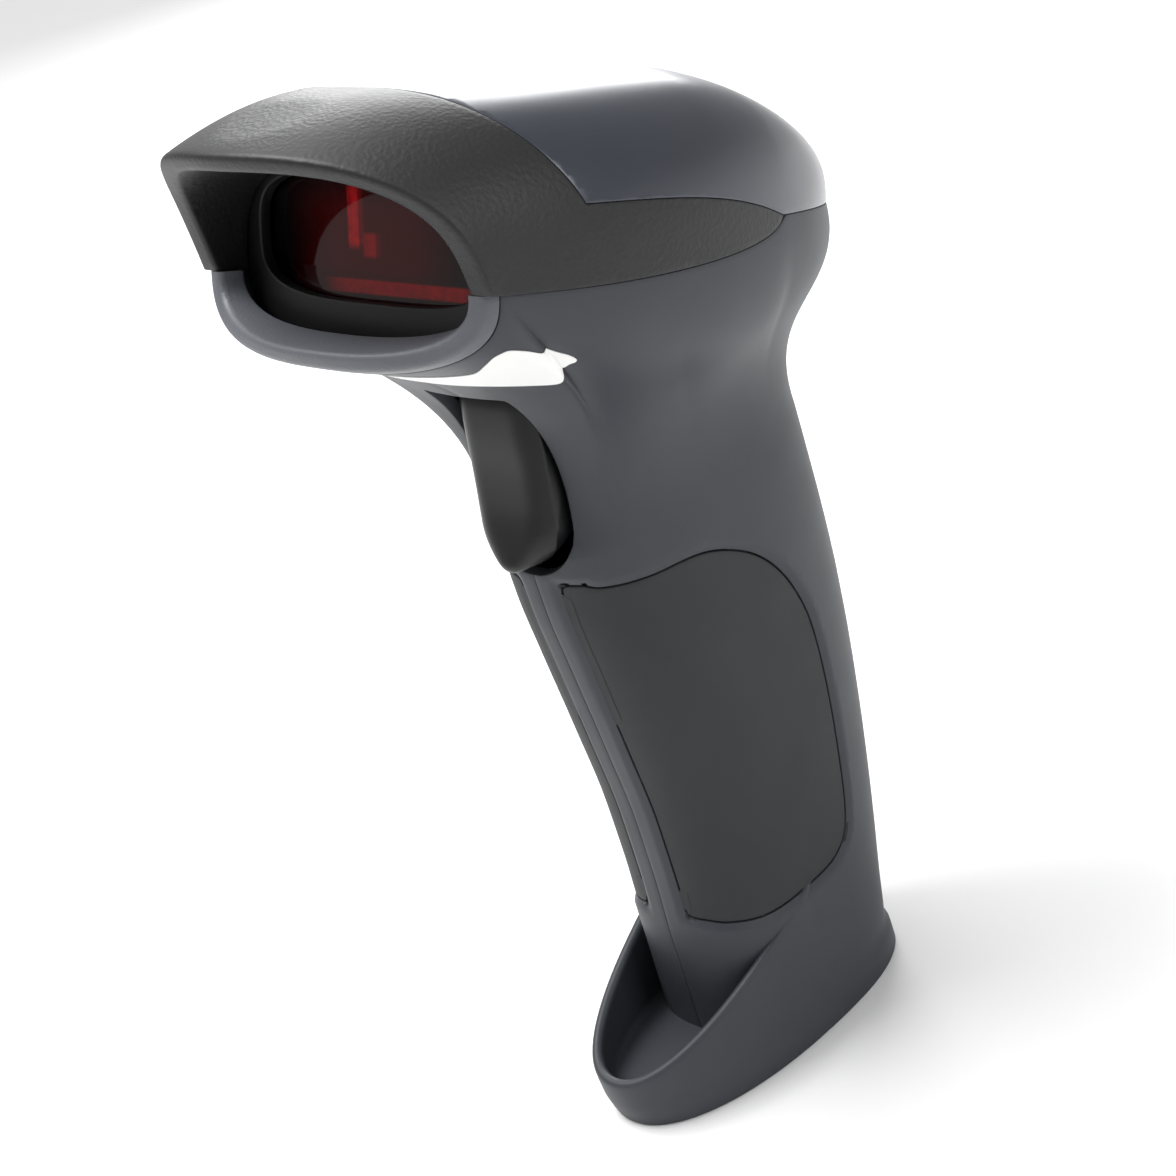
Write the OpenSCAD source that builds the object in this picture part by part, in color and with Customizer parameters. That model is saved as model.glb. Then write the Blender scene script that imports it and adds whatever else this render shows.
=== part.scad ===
// Handheld barcode scanner with a battery in the handle.
// X is the width, Y the depth (window towards -Y), Z is up; it stands on its foot at Z = 0.

/* [Overall] */
// Tilt of the head, nose up, degrees
head_pitch = 21; // [10:0.5:30]
// Depth position of the mouth corner of the head, mm
head_y = -26.9; // [-40:0.1:-15]
// Height of the mouth corner of the head, mm
head_z = 145.1; // [130:0.1:160]

/* [Head] */
// Half of the widest head width, mm
head_half_width = 34; // [28:0.5:40]
// Half width of the head at the mouth corner, mm
mouth_half_width = 30.6; // [26:0.1:34]
// Length of the head from the mouth corner to the rear, mm
head_length = 85.7; // [70:0.5:100]
// Height of the crown above the mouth corner, mm
crown_height = 27.6; // [22:0.2:32]
// Height of the rear seam above the mouth corner, mm
seam_height = 6.3; // [3:0.1:9]
// Height of the hood rim above the mouth corner, mm
rim_height = 17.4; // [14:0.2:20]
// Forward bow of the hood rim at its middle, mm
rim_bow = 11.9; // [6:0.1:15]
// Forward lean of the hood rim, mm
rim_lean = 7.5; // [3:0.1:12]
// Depth of the lip below the mouth corner, mm
lip_depth = 10.5; // [8:0.1:14]
// Wall thickness of the mouldings, mm
wall = 2; // [1.5:0.1:3]

/* [Handle] */
// Half width of the upper handle, mm
handle_half_width = 16.5; // [14:0.1:19]
// Front of the upper handle, mm
handle_front = -12.5; // [-16:0.1:-9]
// Back of the upper handle, mm
handle_back = 40; // [34:0.1:44]
// Depth of the grip panels' step, mm
grip_step = 0.5; // [0.2:0.1:1]
// Thickness of the grip panels, mm
grip_thickness = 1.1; // [0.8:0.1:1.6]

/* [Foot] */
// Reach of the toe, mm
toe = -30.4; // [-36:0.1:-24]
// Height of the toe rim, mm
toe_rim = 9.3; // [6:0.1:12]
// Rise of the toe rim towards the handle, mm per mm
rim_slope = 0.41; // [0.2:0.01:0.6]
// Thickness of the base plate, mm
base_thickness = 2.5; // [2:0.1:4]

/* [Trigger] */
// Width of the trigger, mm
trigger_width = 16; // [12:0.5:20]
// Pivot position, depth, mm
pivot_y = 1.5; // [0:0.1:4]
// Pivot position, height, mm
pivot_z = 116.5; // [112:0.1:118]
// Pin diameter, mm
pin_diameter = 2.5; // [2:0.1:4]

/* [Electronics] */
// Battery cell diameter, mm
cell_diameter = 18.3; // [14:0.1:18.5]
// Battery cell length, mm
cell_length = 65; // [50:0.5:66]
// Circuit board thickness, mm
board = 1.6; // [0.8:0.1:2]
// Jack opening width, mm
jack_width = 11.8; // [9:0.1:12.5]
// Jack opening depth front to back, mm
jack_height = 6.8; // [6:0.1:7.5]

/* [Part] */
// Sub-part to show

/* [Hidden] */
$fn = 40;
cell_y = 17;
cell_z = 14;

function mix(a, b, t) = a + (b - a) * t;
function sgp(v, e) = sign(v) * pow(abs(v), e);
function clamp01(t) = max(0, min(1, t));
function ease(t) = let(u = clamp01(t)) u * u * (3 - 2 * u);
// head frame point to part frame point
function hr(p) = [p[0],
                  head_y + p[1] * cos(head_pitch) + p[2] * sin(head_pitch),
                  head_z - p[1] * sin(head_pitch) + p[2] * cos(head_pitch)];
module in_head() translate([0, head_y, head_z]) rotate([-head_pitch, 0, 0]) children();
// one free-form moulding, kept as a single skin
module moulding() resize([0, 0, 0]) children();

// ---- head surfaces, head frame ----
belly = 21.9;
crown = 39.9;
tail = 54.5;
function half_w(y) = y < belly
    ? head_half_width - (head_half_width - mouth_half_width) * pow((belly - y) / belly, 2)
    : head_half_width * sqrt(max(0, 1 - pow((y - belly) / (head_length - belly), 2)));
function wide_z(y) = seam_height * clamp01(y / tail);
function roof_k(y) = y < crown
    ? 1 - 0.105 * pow((crown - y) / crown, 2)
    : pow(max(0, 1 - pow(min(1, (y - crown) / (head_length - crown)), 1.6)), 1 / 1.6);
function roof(y) = wide_z(y) + (crown_height - wide_z(y)) * roof_k(y);
// dome point; d is the inward offset
function dome(y, a, d = 0) =
    [max(0.05, half_w(y) - d) * sgp(cos(a), 2 / 2.9), y,
     wide_z(y) + max(0.05, roof(y) - d - wide_z(y)) * pow(abs(sin(a)), 2 / 2.9)];
function rim_out(a) = let(x = 31 * sgp(cos(a), 2 / 3), z = rim_height * pow(abs(sin(a)), 2 / 3))
    [x, -rim_lean * z / rim_height - rim_bow * (1 - pow(x / 31, 2)), z];
function rim_in(a) = let(x = 27.1 * sgp(cos(a), 2 / 3.3), z = 15.3 * pow(abs(sin(a)), 2 / 3.3))
    [x, -0.4 - 6.6 * z / 15.3 - 10.7 * (1 - pow(x / 27.1, 2)), z];
// lower edge of the hood wing and upper edge of its tail
function wing_low(y) = y <= 0 ? 0 : y >= tail ? seam_height
    : seam_height * (1 - pow(1 - pow(y / tail, 2), 1 / 2.1));
function wing_top(y) = mix(10.5, seam_height, pow(clamp01((y - 15.3) / (tail - 15.3)), 3));

// ---- closed skin from stacked sections of equal point count ----
module skin(rows, flip = false) {
    n = len(rows[0]); m = len(rows);
    pts = [for (r = rows) each r];
    h = floor(n / 2);
    // end sections close across X: point k faces point n-k
    function cap(o, f) = [for (k = [0 : h - 1]) let(a = o + k, b = o + k + 1, c = o + (n - k - 1) % n, d = o + (n - k) % n)
        each (k == 0 ? [f ? [a, b, c] : [a, c, b]]
            : k == h - 1 && b == c ? [f ? [a, b, d] : [a, d, b]]
            : f ? [[a, b, c], [a, c, d]] : [[a, c, b], [a, d, c]])];
    side = [for (i = [0 : m - 2], k = [0 : n - 1]) let(a = i * n + k, b = i * n + (k + 1) % n, c = a + n, d = b + n)
        each (flip ? [[a, d, c], [a, b, d]] : [[a, c, d], [a, d, b]])];
    polyhedron(pts, concat(cap(0, !flip), side, cap((m - 1) * n, flip)), convexity = 8);
}

// ring of points: right side front to rear, then mirrored left side rear to front
function ring(right) = concat(right, [for (k = [len(right) - 2 : -1 : 1]) [-right[k][0], right[k][1], right[k][2]]]);

// ---- handle sections, part frame ----
NL = 6; NS = 15; NR = NL + NS;
function back_at(z) = lookup(z, [[0, 29.4], [3.2, 29.4], [4.6, 28.7], [8, 29.6], [12, 30.6], [20, 32.8], [30, 35], [40, 36.8], [50, 38.2], [60, 39.2], [70, 39.8], [85, 40], [95, handle_back]]);
function front_at(z) = lookup(z, [[0, -10.2], [22, -10], [35, -9.4], [45, -9.3], [60, -10.3], [75, -11.6], [85, -12.4], [95, handle_front]]);
function side_at(z) = lookup(z, [[0, 15.9], [3.2, 15.7], [6, 15.2], [12, 14.9], [20, 14.7], [40, 15.1], [60, 15.9], [80, handle_half_width], [95, handle_half_width]]);
function wide_y(z) = mix(6, 12, clamp01(z / 90));
function handle_pt(z, a, d = 0, f = undef) =
    let(yc = wide_y(z), fr = is_undef(f) ? front_at(z) : f, n = a < 0 && !is_undef(f) ? mix(2.7, 2.15, clamp01((wide_y(z) - fr - 14) / 20)) : 2.7,
        c = max(0, cos(a)), s = sin(a))
    [(side_at(z) - d) * pow(c, 2 / n), yc + sgp(s, 2 / n) * (s > 0 ? back_at(z) - d - yc : yc - fr - d), z];
function handle_ring(z, d = 0, f = undef) = ring([for (i = [0 : NR]) handle_pt(z, -90 + 180 * i / NR, d, f)]);

// ---- lower head flowing into the handle ----
function edge_pt(i, d) = let(k = clamp01((i - NL) / NS))
    i <= NL
    ? let(f = 90 * (1 - i / NL), a = 30.3 - d, x = a * pow(max(0, cos(f)), 2 / 2.7), z = -(lip_depth + 0.7 - d) * pow(max(0, sin(f)), 2 / 2.7))
        [x, 2 - 4.5 * (1 - pow(x / a, 2)), z]
    : k < 0.24
    ? let(y = mix(2, belly, k / 0.24)) [half_w(y) - d - 0.3 * (1 - k / 0.24), y, wing_low(y)]
    : let(q = 90 * (k - 0.24) / 0.76) [(head_half_width - d) * cos(q), belly + (head_length - d - belly) * sin(q), wing_low(belly + (head_length - belly) * sin(q))];
function edge_dir(i) = let(k = ease((i - 1) / 9), r = clamp01((i - 12) / (NR - 12)),
    v = (1 - k) * [0, 0.95, -0.55] + k * [0, mix(-0.12, 0.1, r), -1]) v / norm(v);
function edge_len(i) = i < 11 ? mix(15, 18, i / 11) : mix(18, 11.4, ease((i - 11) / (NR - 11)));
function neck_dir(i) = let(a = -90 + 180 * i / NR) a < 0 ? [0, 10 * pow(-sin(a), 2), 24] : [0, -1.5 * sin(a), mix(23, 17, sin(a))];
function bez(p0, p1, p2, p3, t) = let(u = 1 - t) u * u * u * p0 + 3 * u * u * t * p1 + 3 * u * t * t * p2 + t * t * t * p3;
function neck_ring(t, d, up = 0) = ring([for (i = [0 : NR])
    let(a0 = hr(edge_pt(i, d)), p0 = a0, h0 = handle_pt(95, -90 + 180 * i / NR, d),
        s = d > 0 ? 0.97 : 1)
    bez(p0, p0 + s * edge_len(i) * edge_dir(i), h0 + neck_dir(i), h0, t)]);

neck_steps = [0, 0.05, 0.12, 0.2, 0.29, 0.38, 0.47, 0.56, 0.66, 0.76, 0.87];
handle_steps = [95, 86, 76, 66, 56, 46, 36, 27, 19, 12, 7, 4.6, 3.2, 0];
module body_outer(d = 0) skin(concat([for (t = neck_steps) neck_ring(t, d)], [for (z = handle_steps) handle_ring(z, d)]), true);
// hollow inside the body, open to the head and to the base
module body_hollow() {
    up = [0, sin(head_pitch), cos(head_pitch)];
    t0 = neck_ring(0, wall);
    // open above the seam, and forwards through the mouth
    top = [for (p = t0) p + 14 * up + (p[1] < -10 ? [0, -12 * cos(head_pitch), 12 * sin(head_pitch)] : [0, 0, 0])];
    skin(concat([top, [for (p = t0) p + 0.6 * up]], [for (t = [0.1, 0.22, 0.36, 0.5, 0.66, 0.83]) neck_ring(t, wall)],
        [for (z = [95, 80, 65, 50, 35, 20, 10, 2]) handle_ring(z, wall)]), true);
}

// ---- toe of the foot ----
function toe_front(z) = lookup(z, [[0, toe + 1.6], [5, toe + 0.3], [9, toe], [14, toe + 0.6], [18, toe + 1.6], [24, toe + 3]]);
// the toe's ring stays just inside the handle's sides, so it grows out of them towards the front
function toe_ring(z, d = 0, out = 0) = let(yc = 5, fr = toe_front(z) + out, n = mix(2.7, 2.15, clamp01((yc - fr - 14) / 20)))
    ring([for (i = [0 : NR]) let(a = -90 + 180 * i / NR, c = pow(max(0, cos(a)), 2 / n), q = sgp(sin(a), 2 / n))
        [(side_at(z) - 0.25 - d) * c, yc + q * (a > 0 ? 9 - d : yc - fr - d), z]]);
module toe_outer() skin([for (z = [23, 14, 9, 5, 0]) toe_ring(z)], true);
module under_rim(up = 0) translate([0, 0, up]) rotate([90, 0, 90]) linear_extrude(60, center = true)
    polygon([[-60, -5], [-60, toe_rim + rim_slope * (-60 - toe)], [0, toe_rim - rim_slope * toe], [11, toe_rim - rim_slope * toe], [11, -5]]);
module toe_wall() difference() {
    intersection() { toe_outer(); under_rim(); }
    translate([0, 0, 4.5]) skin([for (z = [31, 14, 9, 5, 0]) toe_ring(z, 1.8, 0.2)], true);
}
module foot_outline(d) offset(delta = -d) {
    polygon([for (p = toe_ring(0)) [p[0], p[1]]]);
    polygon([for (p = handle_ring(0)) [p[0], p[1]]]);
}

// ---- grip panels: side view of the panel edge ----
grip_edge = [[-13, 91.5], [-9, 90.2], [-3, 89.6], [2, 89.2], [6.5, 88.3], [11, 86.3], [15.5, 83.2], [19, 79.5], [21.8, 75], [23.8, 70], [25, 65], [25.4, 58], [25, 48], [23.8, 38], [22.3, 30], [20.6, 26.5], [17.5, 24], [12, 23], [0, 23.4], [-7, 25], [-13, 27]];
module grip_zone(g = 0) rotate([90, 0, 90]) linear_extrude(60, center = true) offset(delta = g) polygon(grip_edge);
module handle_skin(d0, d1) difference() {
    skin([for (z = [100, 86, 76, 66, 56, 46, 36, 27, 19, 14]) handle_ring(z, d0)], true);
    skin([for (z = [101, 86, 76, 66, 56, 46, 36, 27, 19, 13]) handle_ring(z, d1)], true);
}
module grip(side) moulding() intersection() {
    handle_skin(grip_step, grip_step + grip_thickness);
    grip_zone(-0.15);
    translate([side > 0 ? 3 : -63, -40, 0]) cube([60, 90, 120]);
}

// ---- body shells ----
screw_at = [[31, 99], [31, 47], [-4, 84], [-4, 33]];
screw_reach = 6; // half the length of a case screw under its head, mm
module slot_front() translate([0, 4, 0]) rotate([90, 0, 0]) linear_extrude(40)
    hull() { translate([0, 117.5]) square([trigger_width + 1.6, 8], center = true); translate([0, 98.2]) scale([1, 0.75]) circle(d = trigger_width + 1.6, $fn = 28); }
module sound_slots() in_head() for (x = [-9 : 3 : 9]) translate([x - 0.55, 76, -1.3]) cube([1.1, 16, 4]);
module body_shell() {
    difference() {
        union() { body_outer(); toe_wall(); }
        body_hollow();
        translate([0, 0, -1]) linear_extrude(base_thickness + 1.05) foot_outline(1.6);
        slot_front();
        sound_slots();
        // wells for the case screws, from the left
        for (p = screw_at) translate([-30, p[0], p[1]]) rotate([0, 90, 0]) cylinder(d = 4.6, h = 30 - screw_reach, $fn = 16);
        difference() {
            translate([0, 0, 0]) handle_skin(-3, grip_step + grip_thickness);
            translate([-2.85, -40, 0]) cube([5.7, 90, 120]);
            rotate([90, 0, 90]) linear_extrude(80, center = true) difference() { square([200, 300], center = true); polygon(grip_edge); }
        }
    }
    // bosses and ledges inside, kept within the skin
    intersection() {
        body_outer(wall - 0.2);
        union() {
            for (p = screw_at) translate([0, p[0], p[1]]) rotate([0, 90, 0]) difference() {
                cylinder(d = 6, h = 40, center = true, $fn = 20);
                cylinder(d = 2.1, h = 41, center = true, $fn = 16);
                translate([0, 0, -21]) cylinder(d = 4.6, h = 21 - screw_reach, $fn = 16);
            }
            in_head() for (x = [-17, 17], y = [21, 37]) translate([x, y, -30]) difference() { cylinder(d = 5, h = 23.5, $fn = 16); translate([0, 0, 17]) cylinder(d = 1.7, h = 7, $fn = 12); }
            for (s = [-1, 1]) {
                // pivot bosses for the trigger pin
                translate([s * 12.5, pivot_y, pivot_z]) rotate([0, 90, 0]) difference() { cylinder(d = 6, h = 7.4, center = true, $fn = 20); cylinder(d = pin_diameter + 0.08, h = 8, center = true, $fn = 16); }
                // rails holding the switch board
                translate([s * 12.9 - 4, 3, 92]) cube([8, 1, 18]);
                translate([s * 12.9 - 4, 3 + 1 + 1.2, 92]) cube([8, 1, 18]);
                // cradle under the beeper
                in_head() translate([s * 4 - 1.5, 71.5, -5.5]) cube([3, 14, 6.3]);
                // base screw bosses
                translate([s * 10.6, 8, base_thickness]) difference() { cylinder(d = 5.6, h = 7.5, $fn = 20); translate([0, 0, -0.1]) cylinder(d = 2.1, h = 6.5, $fn = 16); }
                // shelves under the cell holder
                translate([s * 11.4 - 2, 10, 83.2 - 1.2 - 72.2]) cube([4, 12, 1.2]);
            }
        }
    }
}
module shell_right() color([0.27, 0.28, 0.31]) moulding() intersection() { body_shell(); translate([0, -60, -5]) cube([60, 160, 200]); }
module shell_left() color([0.27, 0.28, 0.31]) moulding() intersection() { body_shell(); translate([-60, -60, -5]) cube([60, 160, 200]); }

// ---- upper mouldings ----
HA = 20; // steps over the dome
dome_rows = [3, 8, 14, 21, 28, 35, 42, 49, 56, 62, 68, 73, 77, 80.5, 83, 84.8, 85.65];
function over(f) = [for (k = [0 : HA]) f[k]];
module dome_skin(d, rows, low) skin([for (y = rows)
    let(p = [for (k = [0 : HA]) dome(y, 90 * (1 - k / HA), d)], b = [p[HA][0], y, low])
    ring(concat(p, [b], [[0, y, low]]))]);
module hood_front() {
    N = 6;
    skin([for (j = [0 : N]) let(t = j / N)
        let(p = [for (k = [0 : HA])
                let(a = 90 * (1 - k / HA), r = rim_out(a), q = dome(8, a), g = (dome(8.5, a) - q) / 0.5, m = q - g * (8 - r[1]) / 2)
                (1 - t) * (1 - t) * r + 2 * t * (1 - t) * m + t * t * q],
            e = p[HA])
        ring(concat(p, [[e[0], e[1], e[2] - 1.5]], [[0, e[1], e[2] - 1.5]]))]);
}
module hood_tunnel() skin(concat(
    [let(p = [for (k = [0 : HA]) let(q = rim_in(90 * (1 - k / HA))) q + 1.6 * (q - [0, 8, 2]) / 20 + [0, -5, 0]]) ring(concat(p, [[p[HA][0], p[HA][1], -4]], [[0, p[HA][1], -4]]))],
    [let(p = [for (k = [0 : HA]) rim_in(90 * (1 - k / HA))]) ring(concat(p, [[p[HA][0], p[HA][1], -4]], [[0, p[HA][1], -4]]))],
    [for (y = [2.5, 5.5]) let(p = [for (k = [0 : HA]) let(a = 90 * (1 - k / HA)) [27.6 * pow(max(0, cos(a)), 2 / 3.3), y, 15.8 * pow(max(0, sin(a)), 2 / 3.3)]]) ring(concat(p, [[27.6, y, -4]], [[0, y, -4]]))]));
// side views of the seam between the hood and the cover
cover_front = [for (t = [0 : 0.125 : 1]) [15.3 - 12.5 * sin(90 * t), dome(15.3 - 12.5 * sin(90 * t), mix(8.5, 90, t))[2]]];
module hood_side() polygon(concat([[-40, 0], [0, 0]], [for (y = [5, 12, 20, 28, 36, 43, 48, 51, 53, 54, 54.4]) [y, wing_low(y)]],
    [for (y = [54, 52, 49, 45, 40, 34, 28, 22, 18]) [y, wing_top(y)]], [[15.3, 10.5]], [for (k = [1 : len(cover_front) - 1]) cover_front[k]], [[2.8, 60], [-40, 60]]));
module cover_side() polygon(concat([[15.3, 10.5]], [for (y = [18, 22, 28, 34, 40, 45, 49, 52, 54, 54.4]) [y, wing_top(y)]], [[95, seam_height], [95, 60], [2.8, 60]],
    [for (k = [len(cover_front) - 1 : -1 : 1]) cover_front[k]]));
module across(w = 90) rotate([90, 0, 90]) linear_extrude(w, center = true) children();
module hood() color([0.13, 0.13, 0.14]) moulding() in_head() difference() {
    union() {
        difference() { union() { hood_front(); dome_skin(0, [for (y = dome_rows) if (y >= 8 && y < 58) y], -2); }
            dome_skin(wall, concat([5.5], [for (y = dome_rows) if (y > 5.5) y - 0.8]), -6); hood_tunnel(); }
    }
    across() difference() { square([300, 300], center = true); hood_side(); }
}
module top_cover() color([0.42, 0.44, 0.49]) moulding() in_head() difference() {
    dome_skin(0, dome_rows, -2);
    dome_skin(wall, concat([0], [for (y = dome_rows) if (y < 80) y], [82, 83.2, 83.65]), -6);
    across() difference() { square([300, 300], center = true); offset(delta = -0.05) cover_side(); }
}
function lip_sec(f) = let(c = function(n) pow(max(0, cos(f)), 2 / n), s = function(n) pow(max(0, sin(f)), 2 / n),
    g = function(a, h, n, y, b, l) let(x = a * c(n)) [x, y + l * s(n) - b * (1 - pow(x / a, 2)), -h * s(n)])
    [g(30.2, lip_depth + 0.6, 2.7, 1.95, 4.5, 0), g(29.8, lip_depth + 0.4, 2.7, 0.9, 4.5, 0), g(28.8, lip_depth, 2.7, -0.2, 4.5, 0), g(27.6, 9.4, 2.65, -0.6, 5.1, 0.3),
     g(26.4, 8.3, 2.6, -0.3, 5.7, 0.7), g(25.6, 6.6, 2.6, 3.2, 3, 0.3), g(27.9, lip_depth - 1.6, 2.7, 3.8, 4.5, 0), g(28.1, lip_depth - 1.5, 2.7, 2, 4.5, 0)];
module mouth_lip() color([0.5, 0.52, 0.57]) moulding() in_head() {
    n = 8; M = 32;
    pts = [for (k = [0 : M]) let(f = 180 * k / M, q = lip_sec(f <= 90 ? f : 180 - f)) each [for (p = q) [f <= 90 ? p[0] : -p[0], p[1], p[2]]]];
    polyhedron(pts, concat([[for (i = [0 : n - 1]) i]], [[for (i = [n - 1 : -1 : 0]) M * n + i]],
        [for (k = [0 : M - 1], i = [0 : n - 1]) let(a = k * n + i, b = k * n + (i + 1) % n) each [[a, a + n, b + n], [a, b + n, b]]]), convexity = 6);
}
function se(a, h, z, n, m) = [for (k = [0 : m - 1]) let(f = 360 * k / m) [a * sgp(cos(f), 2 / n), z + h * sgp(sin(f), 2 / n)]];
module plate(y0, y1) translate([0, y1, 0]) rotate([90, 0, 0]) linear_extrude(y1 - y0) children();
module window_bezel() color([0.05, 0.05, 0.05]) in_head() plate(5.6, 7.6) difference() {
    polygon([for (p = se(1, 1, 0, 3, 56)) p[1] < 0 ? [p[0] * 28, p[1] * 9.1] : [p[0] * 29.4, p[1] * 17.4]]);
    polygon(se(24.7, 8.7, 5.5, 3.4, 48));
}
module window() color([0.35, 0.02, 0.04, 0.6]) in_head() plate(7.6, 9.1) polygon(se(26, 9.9, 5.2, 3.4, 48));
module window_gasket() color([0.09, 0.09, 0.09]) in_head() plate(9.1, 9.9) difference() { polygon(se(26, 9.9, 5.2, 3.4, 48)); polygon(se(24.2, 8.1, 5.2, 3.4, 48)); }
module grip_right() color([0.2, 0.2, 0.22]) grip(1);
module grip_left() color([0.2, 0.2, 0.22]) grip(-1);

// ---- foot ----
jack_y = 0;
module base_plate() color([0.16, 0.16, 0.17]) difference() {
    linear_extrude(base_thickness) foot_outline(1.75);
    translate([-jack_width / 2 - 0.2, jack_y - jack_height / 2 - 0.2, -1]) cube([jack_width + 0.4, jack_height + 0.4, 6]);
    for (s = [-1, 1]) translate([s * 10.6, 8, -0.1]) { cylinder(d = 2.4, h = 5, $fn = 24); cylinder(d = 4.4, h = 1.5, $fn = 24); }
}
module base_screws() color([0.6, 0.6, 0.62]) for (s = [-1, 1]) translate([s * 10.6, 8, 0.1]) difference() {
    union() { cylinder(d = 4, h = 1.3, $fn = 32); cylinder(d = 2, h = 8, $fn = 24); }
    translate([0, 0, -0.1]) { translate([-1.2, -0.25, 0]) cube([2.4, 0.5, 0.7]); translate([-0.25, -1.2, 0]) cube([0.5, 2.4, 0.7]); }
}
module data_jack() color([0.1, 0.1, 0.1]) difference() {
    translate([-7, jack_y - 5, base_thickness]) cube([14, 10, 12.5]);
    translate([-jack_width / 2, jack_y - jack_height / 2, 0]) cube([jack_width, jack_height, 13.2]);
}
module port_board() color([0.05, 0.3, 0.15]) translate([-8, jack_y - 5.5, 15]) cube([16, 11.5, board]);

// ---- trigger ----
module trigger_side() polygon([[-3.2, 119.4], [-8.2, 120.6], [-10.4, 119], [-11.4, 114], [-12.1, 108], [-13.4, 102], [-15.4, 97], [-16.6, 94.6], [-15.6, 93.6], [-12.6, 94.4], [-9.8, 97.2],
    [-7.4, 99], [-1.9, 99.4], [-1.9, 111], [-1.2, 113.6], [1.2, 113.4], [3.4, 114.2], [4.5, 116.5], [3.4, 118.8], [1.2, 119.6]]);
module trigger() color([0.1, 0.1, 0.11]) difference() {
    intersection() {
        rotate([90, 0, 90]) linear_extrude(trigger_width, center = true) offset(r = 0.5, $fn = 12) offset(delta = -0.5) trigger_side();
        // crowned front, rounded across its width
        translate([0, -2.5, 119]) rotate([-10, 0, 0]) cylinder(r = 9.8, h = 70, center = true, $fn = 60);
        // rounded lower end, which stays clear of the slot when the lever swings
        rotate([90, 0, 0]) linear_extrude(60, center = true) hull() {
            translate([0, 117.5]) square([trigger_width + 1, 12], center = true);
            translate([0, 99.9]) scale([1, 0.76]) circle(d = trigger_width, $fn = 40);
        }
    }
    translate([0, pivot_y, pivot_z]) rotate([0, 90, 0]) cylinder(d = pin_diameter + 0.2, h = 30, center = true, $fn = 24);
}
module trigger_pin() color([0.65, 0.65, 0.66]) translate([0, pivot_y, pivot_z]) rotate([0, 90, 0]) cylinder(d = pin_diameter, h = 26, center = true, $fn = 24);
// compression spring between the trigger and the switch board
module trigger_spring() color([0.7, 0.7, 0.7]) translate([0, 0, 108.3]) rotate([90, 0, 0]) for (k = [0 : 4]) translate([0, 0, -3.75 + 1.35 * k])
    rotate_extrude($fn = 24) translate([1.7, 0]) circle(d = 0.5, $fn = 8);
module switch_body() color([0.12, 0.12, 0.12]) difference() { translate([-3, 0, 97.5]) cube([6, 4, 6]); translate([0, 2, 100.5]) rotate([90, 0, 0]) cylinder(d = 2.2, h = 3, $fn = 24); }
module switch_plunger() color([0.85, 0.85, 0.8]) translate([0, 1.2, 100.5]) rotate([90, 0, 0]) cylinder(d = 2, h = 2.1, $fn = 24);
module switch_board() color([0.05, 0.3, 0.15]) translate([-11.5, 4, 92.5]) cube([23, 1.2, 19]);

// ---- scan engine, head frame ----
module engine_frame() color([0.35, 0.36, 0.38]) in_head() difference() {
    union() {
        translate([-21, 13, -6.5]) cube([42, 33, 2]);
        for (x = [-19, 19], y = [16, 43]) translate([x, y, -4.5]) cylinder(d = 4.4, h = 18, $fn = 24);
        // laser saddle and mirror yoke
        translate([-17, 27, -4.5]) cube([9, 6, 8.5]);
        translate([2, 30.5, -4.5]) cube([4.4, 4.4, 1.5]);
        translate([-6, 22.2, -4.5]) cube([12, 1.2, 12]);
    }
    for (x = [-17, 17], y = [21, 37]) translate([x, y, -7]) cylinder(d = 1.8, h = 3, $fn = 20);
    for (x = [-19, 19], y = [16, 43]) translate([x, y, 6]) cylinder(d = 1.45, h = 9, $fn = 16);
    translate([-18, 30, 1]) rotate([0, 90, 0]) cylinder(d = 5.6, h = 12, $fn = 32);
    translate([4.2, 32.7, -6]) cylinder(d = 1.5, h = 5, $fn = 20);
    translate([-2.5, 21, 1]) cube([5, 3, 3]);
}
module laser_barrel() color([0.72, 0.6, 0.35]) in_head() translate([-17.5, 30, 1]) rotate([0, 90, 0]) difference() { cylinder(d = 5.6, h = 11.5, $fn = 40); translate([0, 0, 2.5]) cylinder(d = 3.2, h = 10, $fn = 32); translate([0, 0, -1]) cylinder(d = 4.2, h = 2.6, $fn = 32); }
module laser_diode() color([0.75, 0.75, 0.76]) in_head() translate([-18.3, 30, 1]) rotate([0, 90, 0]) { cylinder(d = 4.2, h = 2.3, $fn = 32); for (q = [0, 120, 240]) rotate(q) translate([1.2, 0, -2]) cylinder(d = 0.45, h = 2, $fn = 12); }
module scan_mirror() color([0.8, 0.82, 0.85]) in_head() translate([4.2, 32.7, 1.2]) rotate(-45) difference() {
    union() { translate([-4.5, -3.1, -2.8]) cube([9, 1, 7]); translate([-2, -2.1, -2.8]) cube([4, 3.6, 7]); translate([-2.2, 1.5, -0.8]) cube([4.4, 1.6, 3]); }
    cylinder(d = 1.6, h = 20, center = true, $fn = 24);
}
module mirror_pin() color([0.66, 0.66, 0.68]) in_head() translate([4.2, 32.7, -6]) cylinder(d = 1.5, h = 13, $fn = 24);
module mirror_coil() color([0.7, 0.38, 0.2]) in_head() translate([8.6, 37.6, 1.2]) rotate(-45) rotate([90, 0, 0]) difference() { union() { cylinder(d = 7.4, h = 2.4, center = true, $fn = 32); translate([-3, -5.7, -1.2]) cube([6, 3, 2.4]); } cylinder(d = 3, h = 5, center = true, $fn = 24); }
module collecting_lens() color([0.55, 0.12, 0.12, 0.8]) in_head() translate([0, 18.6, 2.5]) rotate([90, 0, 0]) intersection() { cylinder(d = 11, h = 2.6, $fn = 48); translate([0, 0, -9.4]) sphere(r = 12, $fn = 64); translate([-6, -7, -1]) cube([12, 14, 5]); }
module detector_board() color([0.05, 0.3, 0.15]) in_head() { translate([-5.5, 18.6, -4.5]) cube([11, 1, 12.5]); translate([-1.6, 19.6, 1.2]) cube([3.2, 1.2, 2.6]); }
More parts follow.
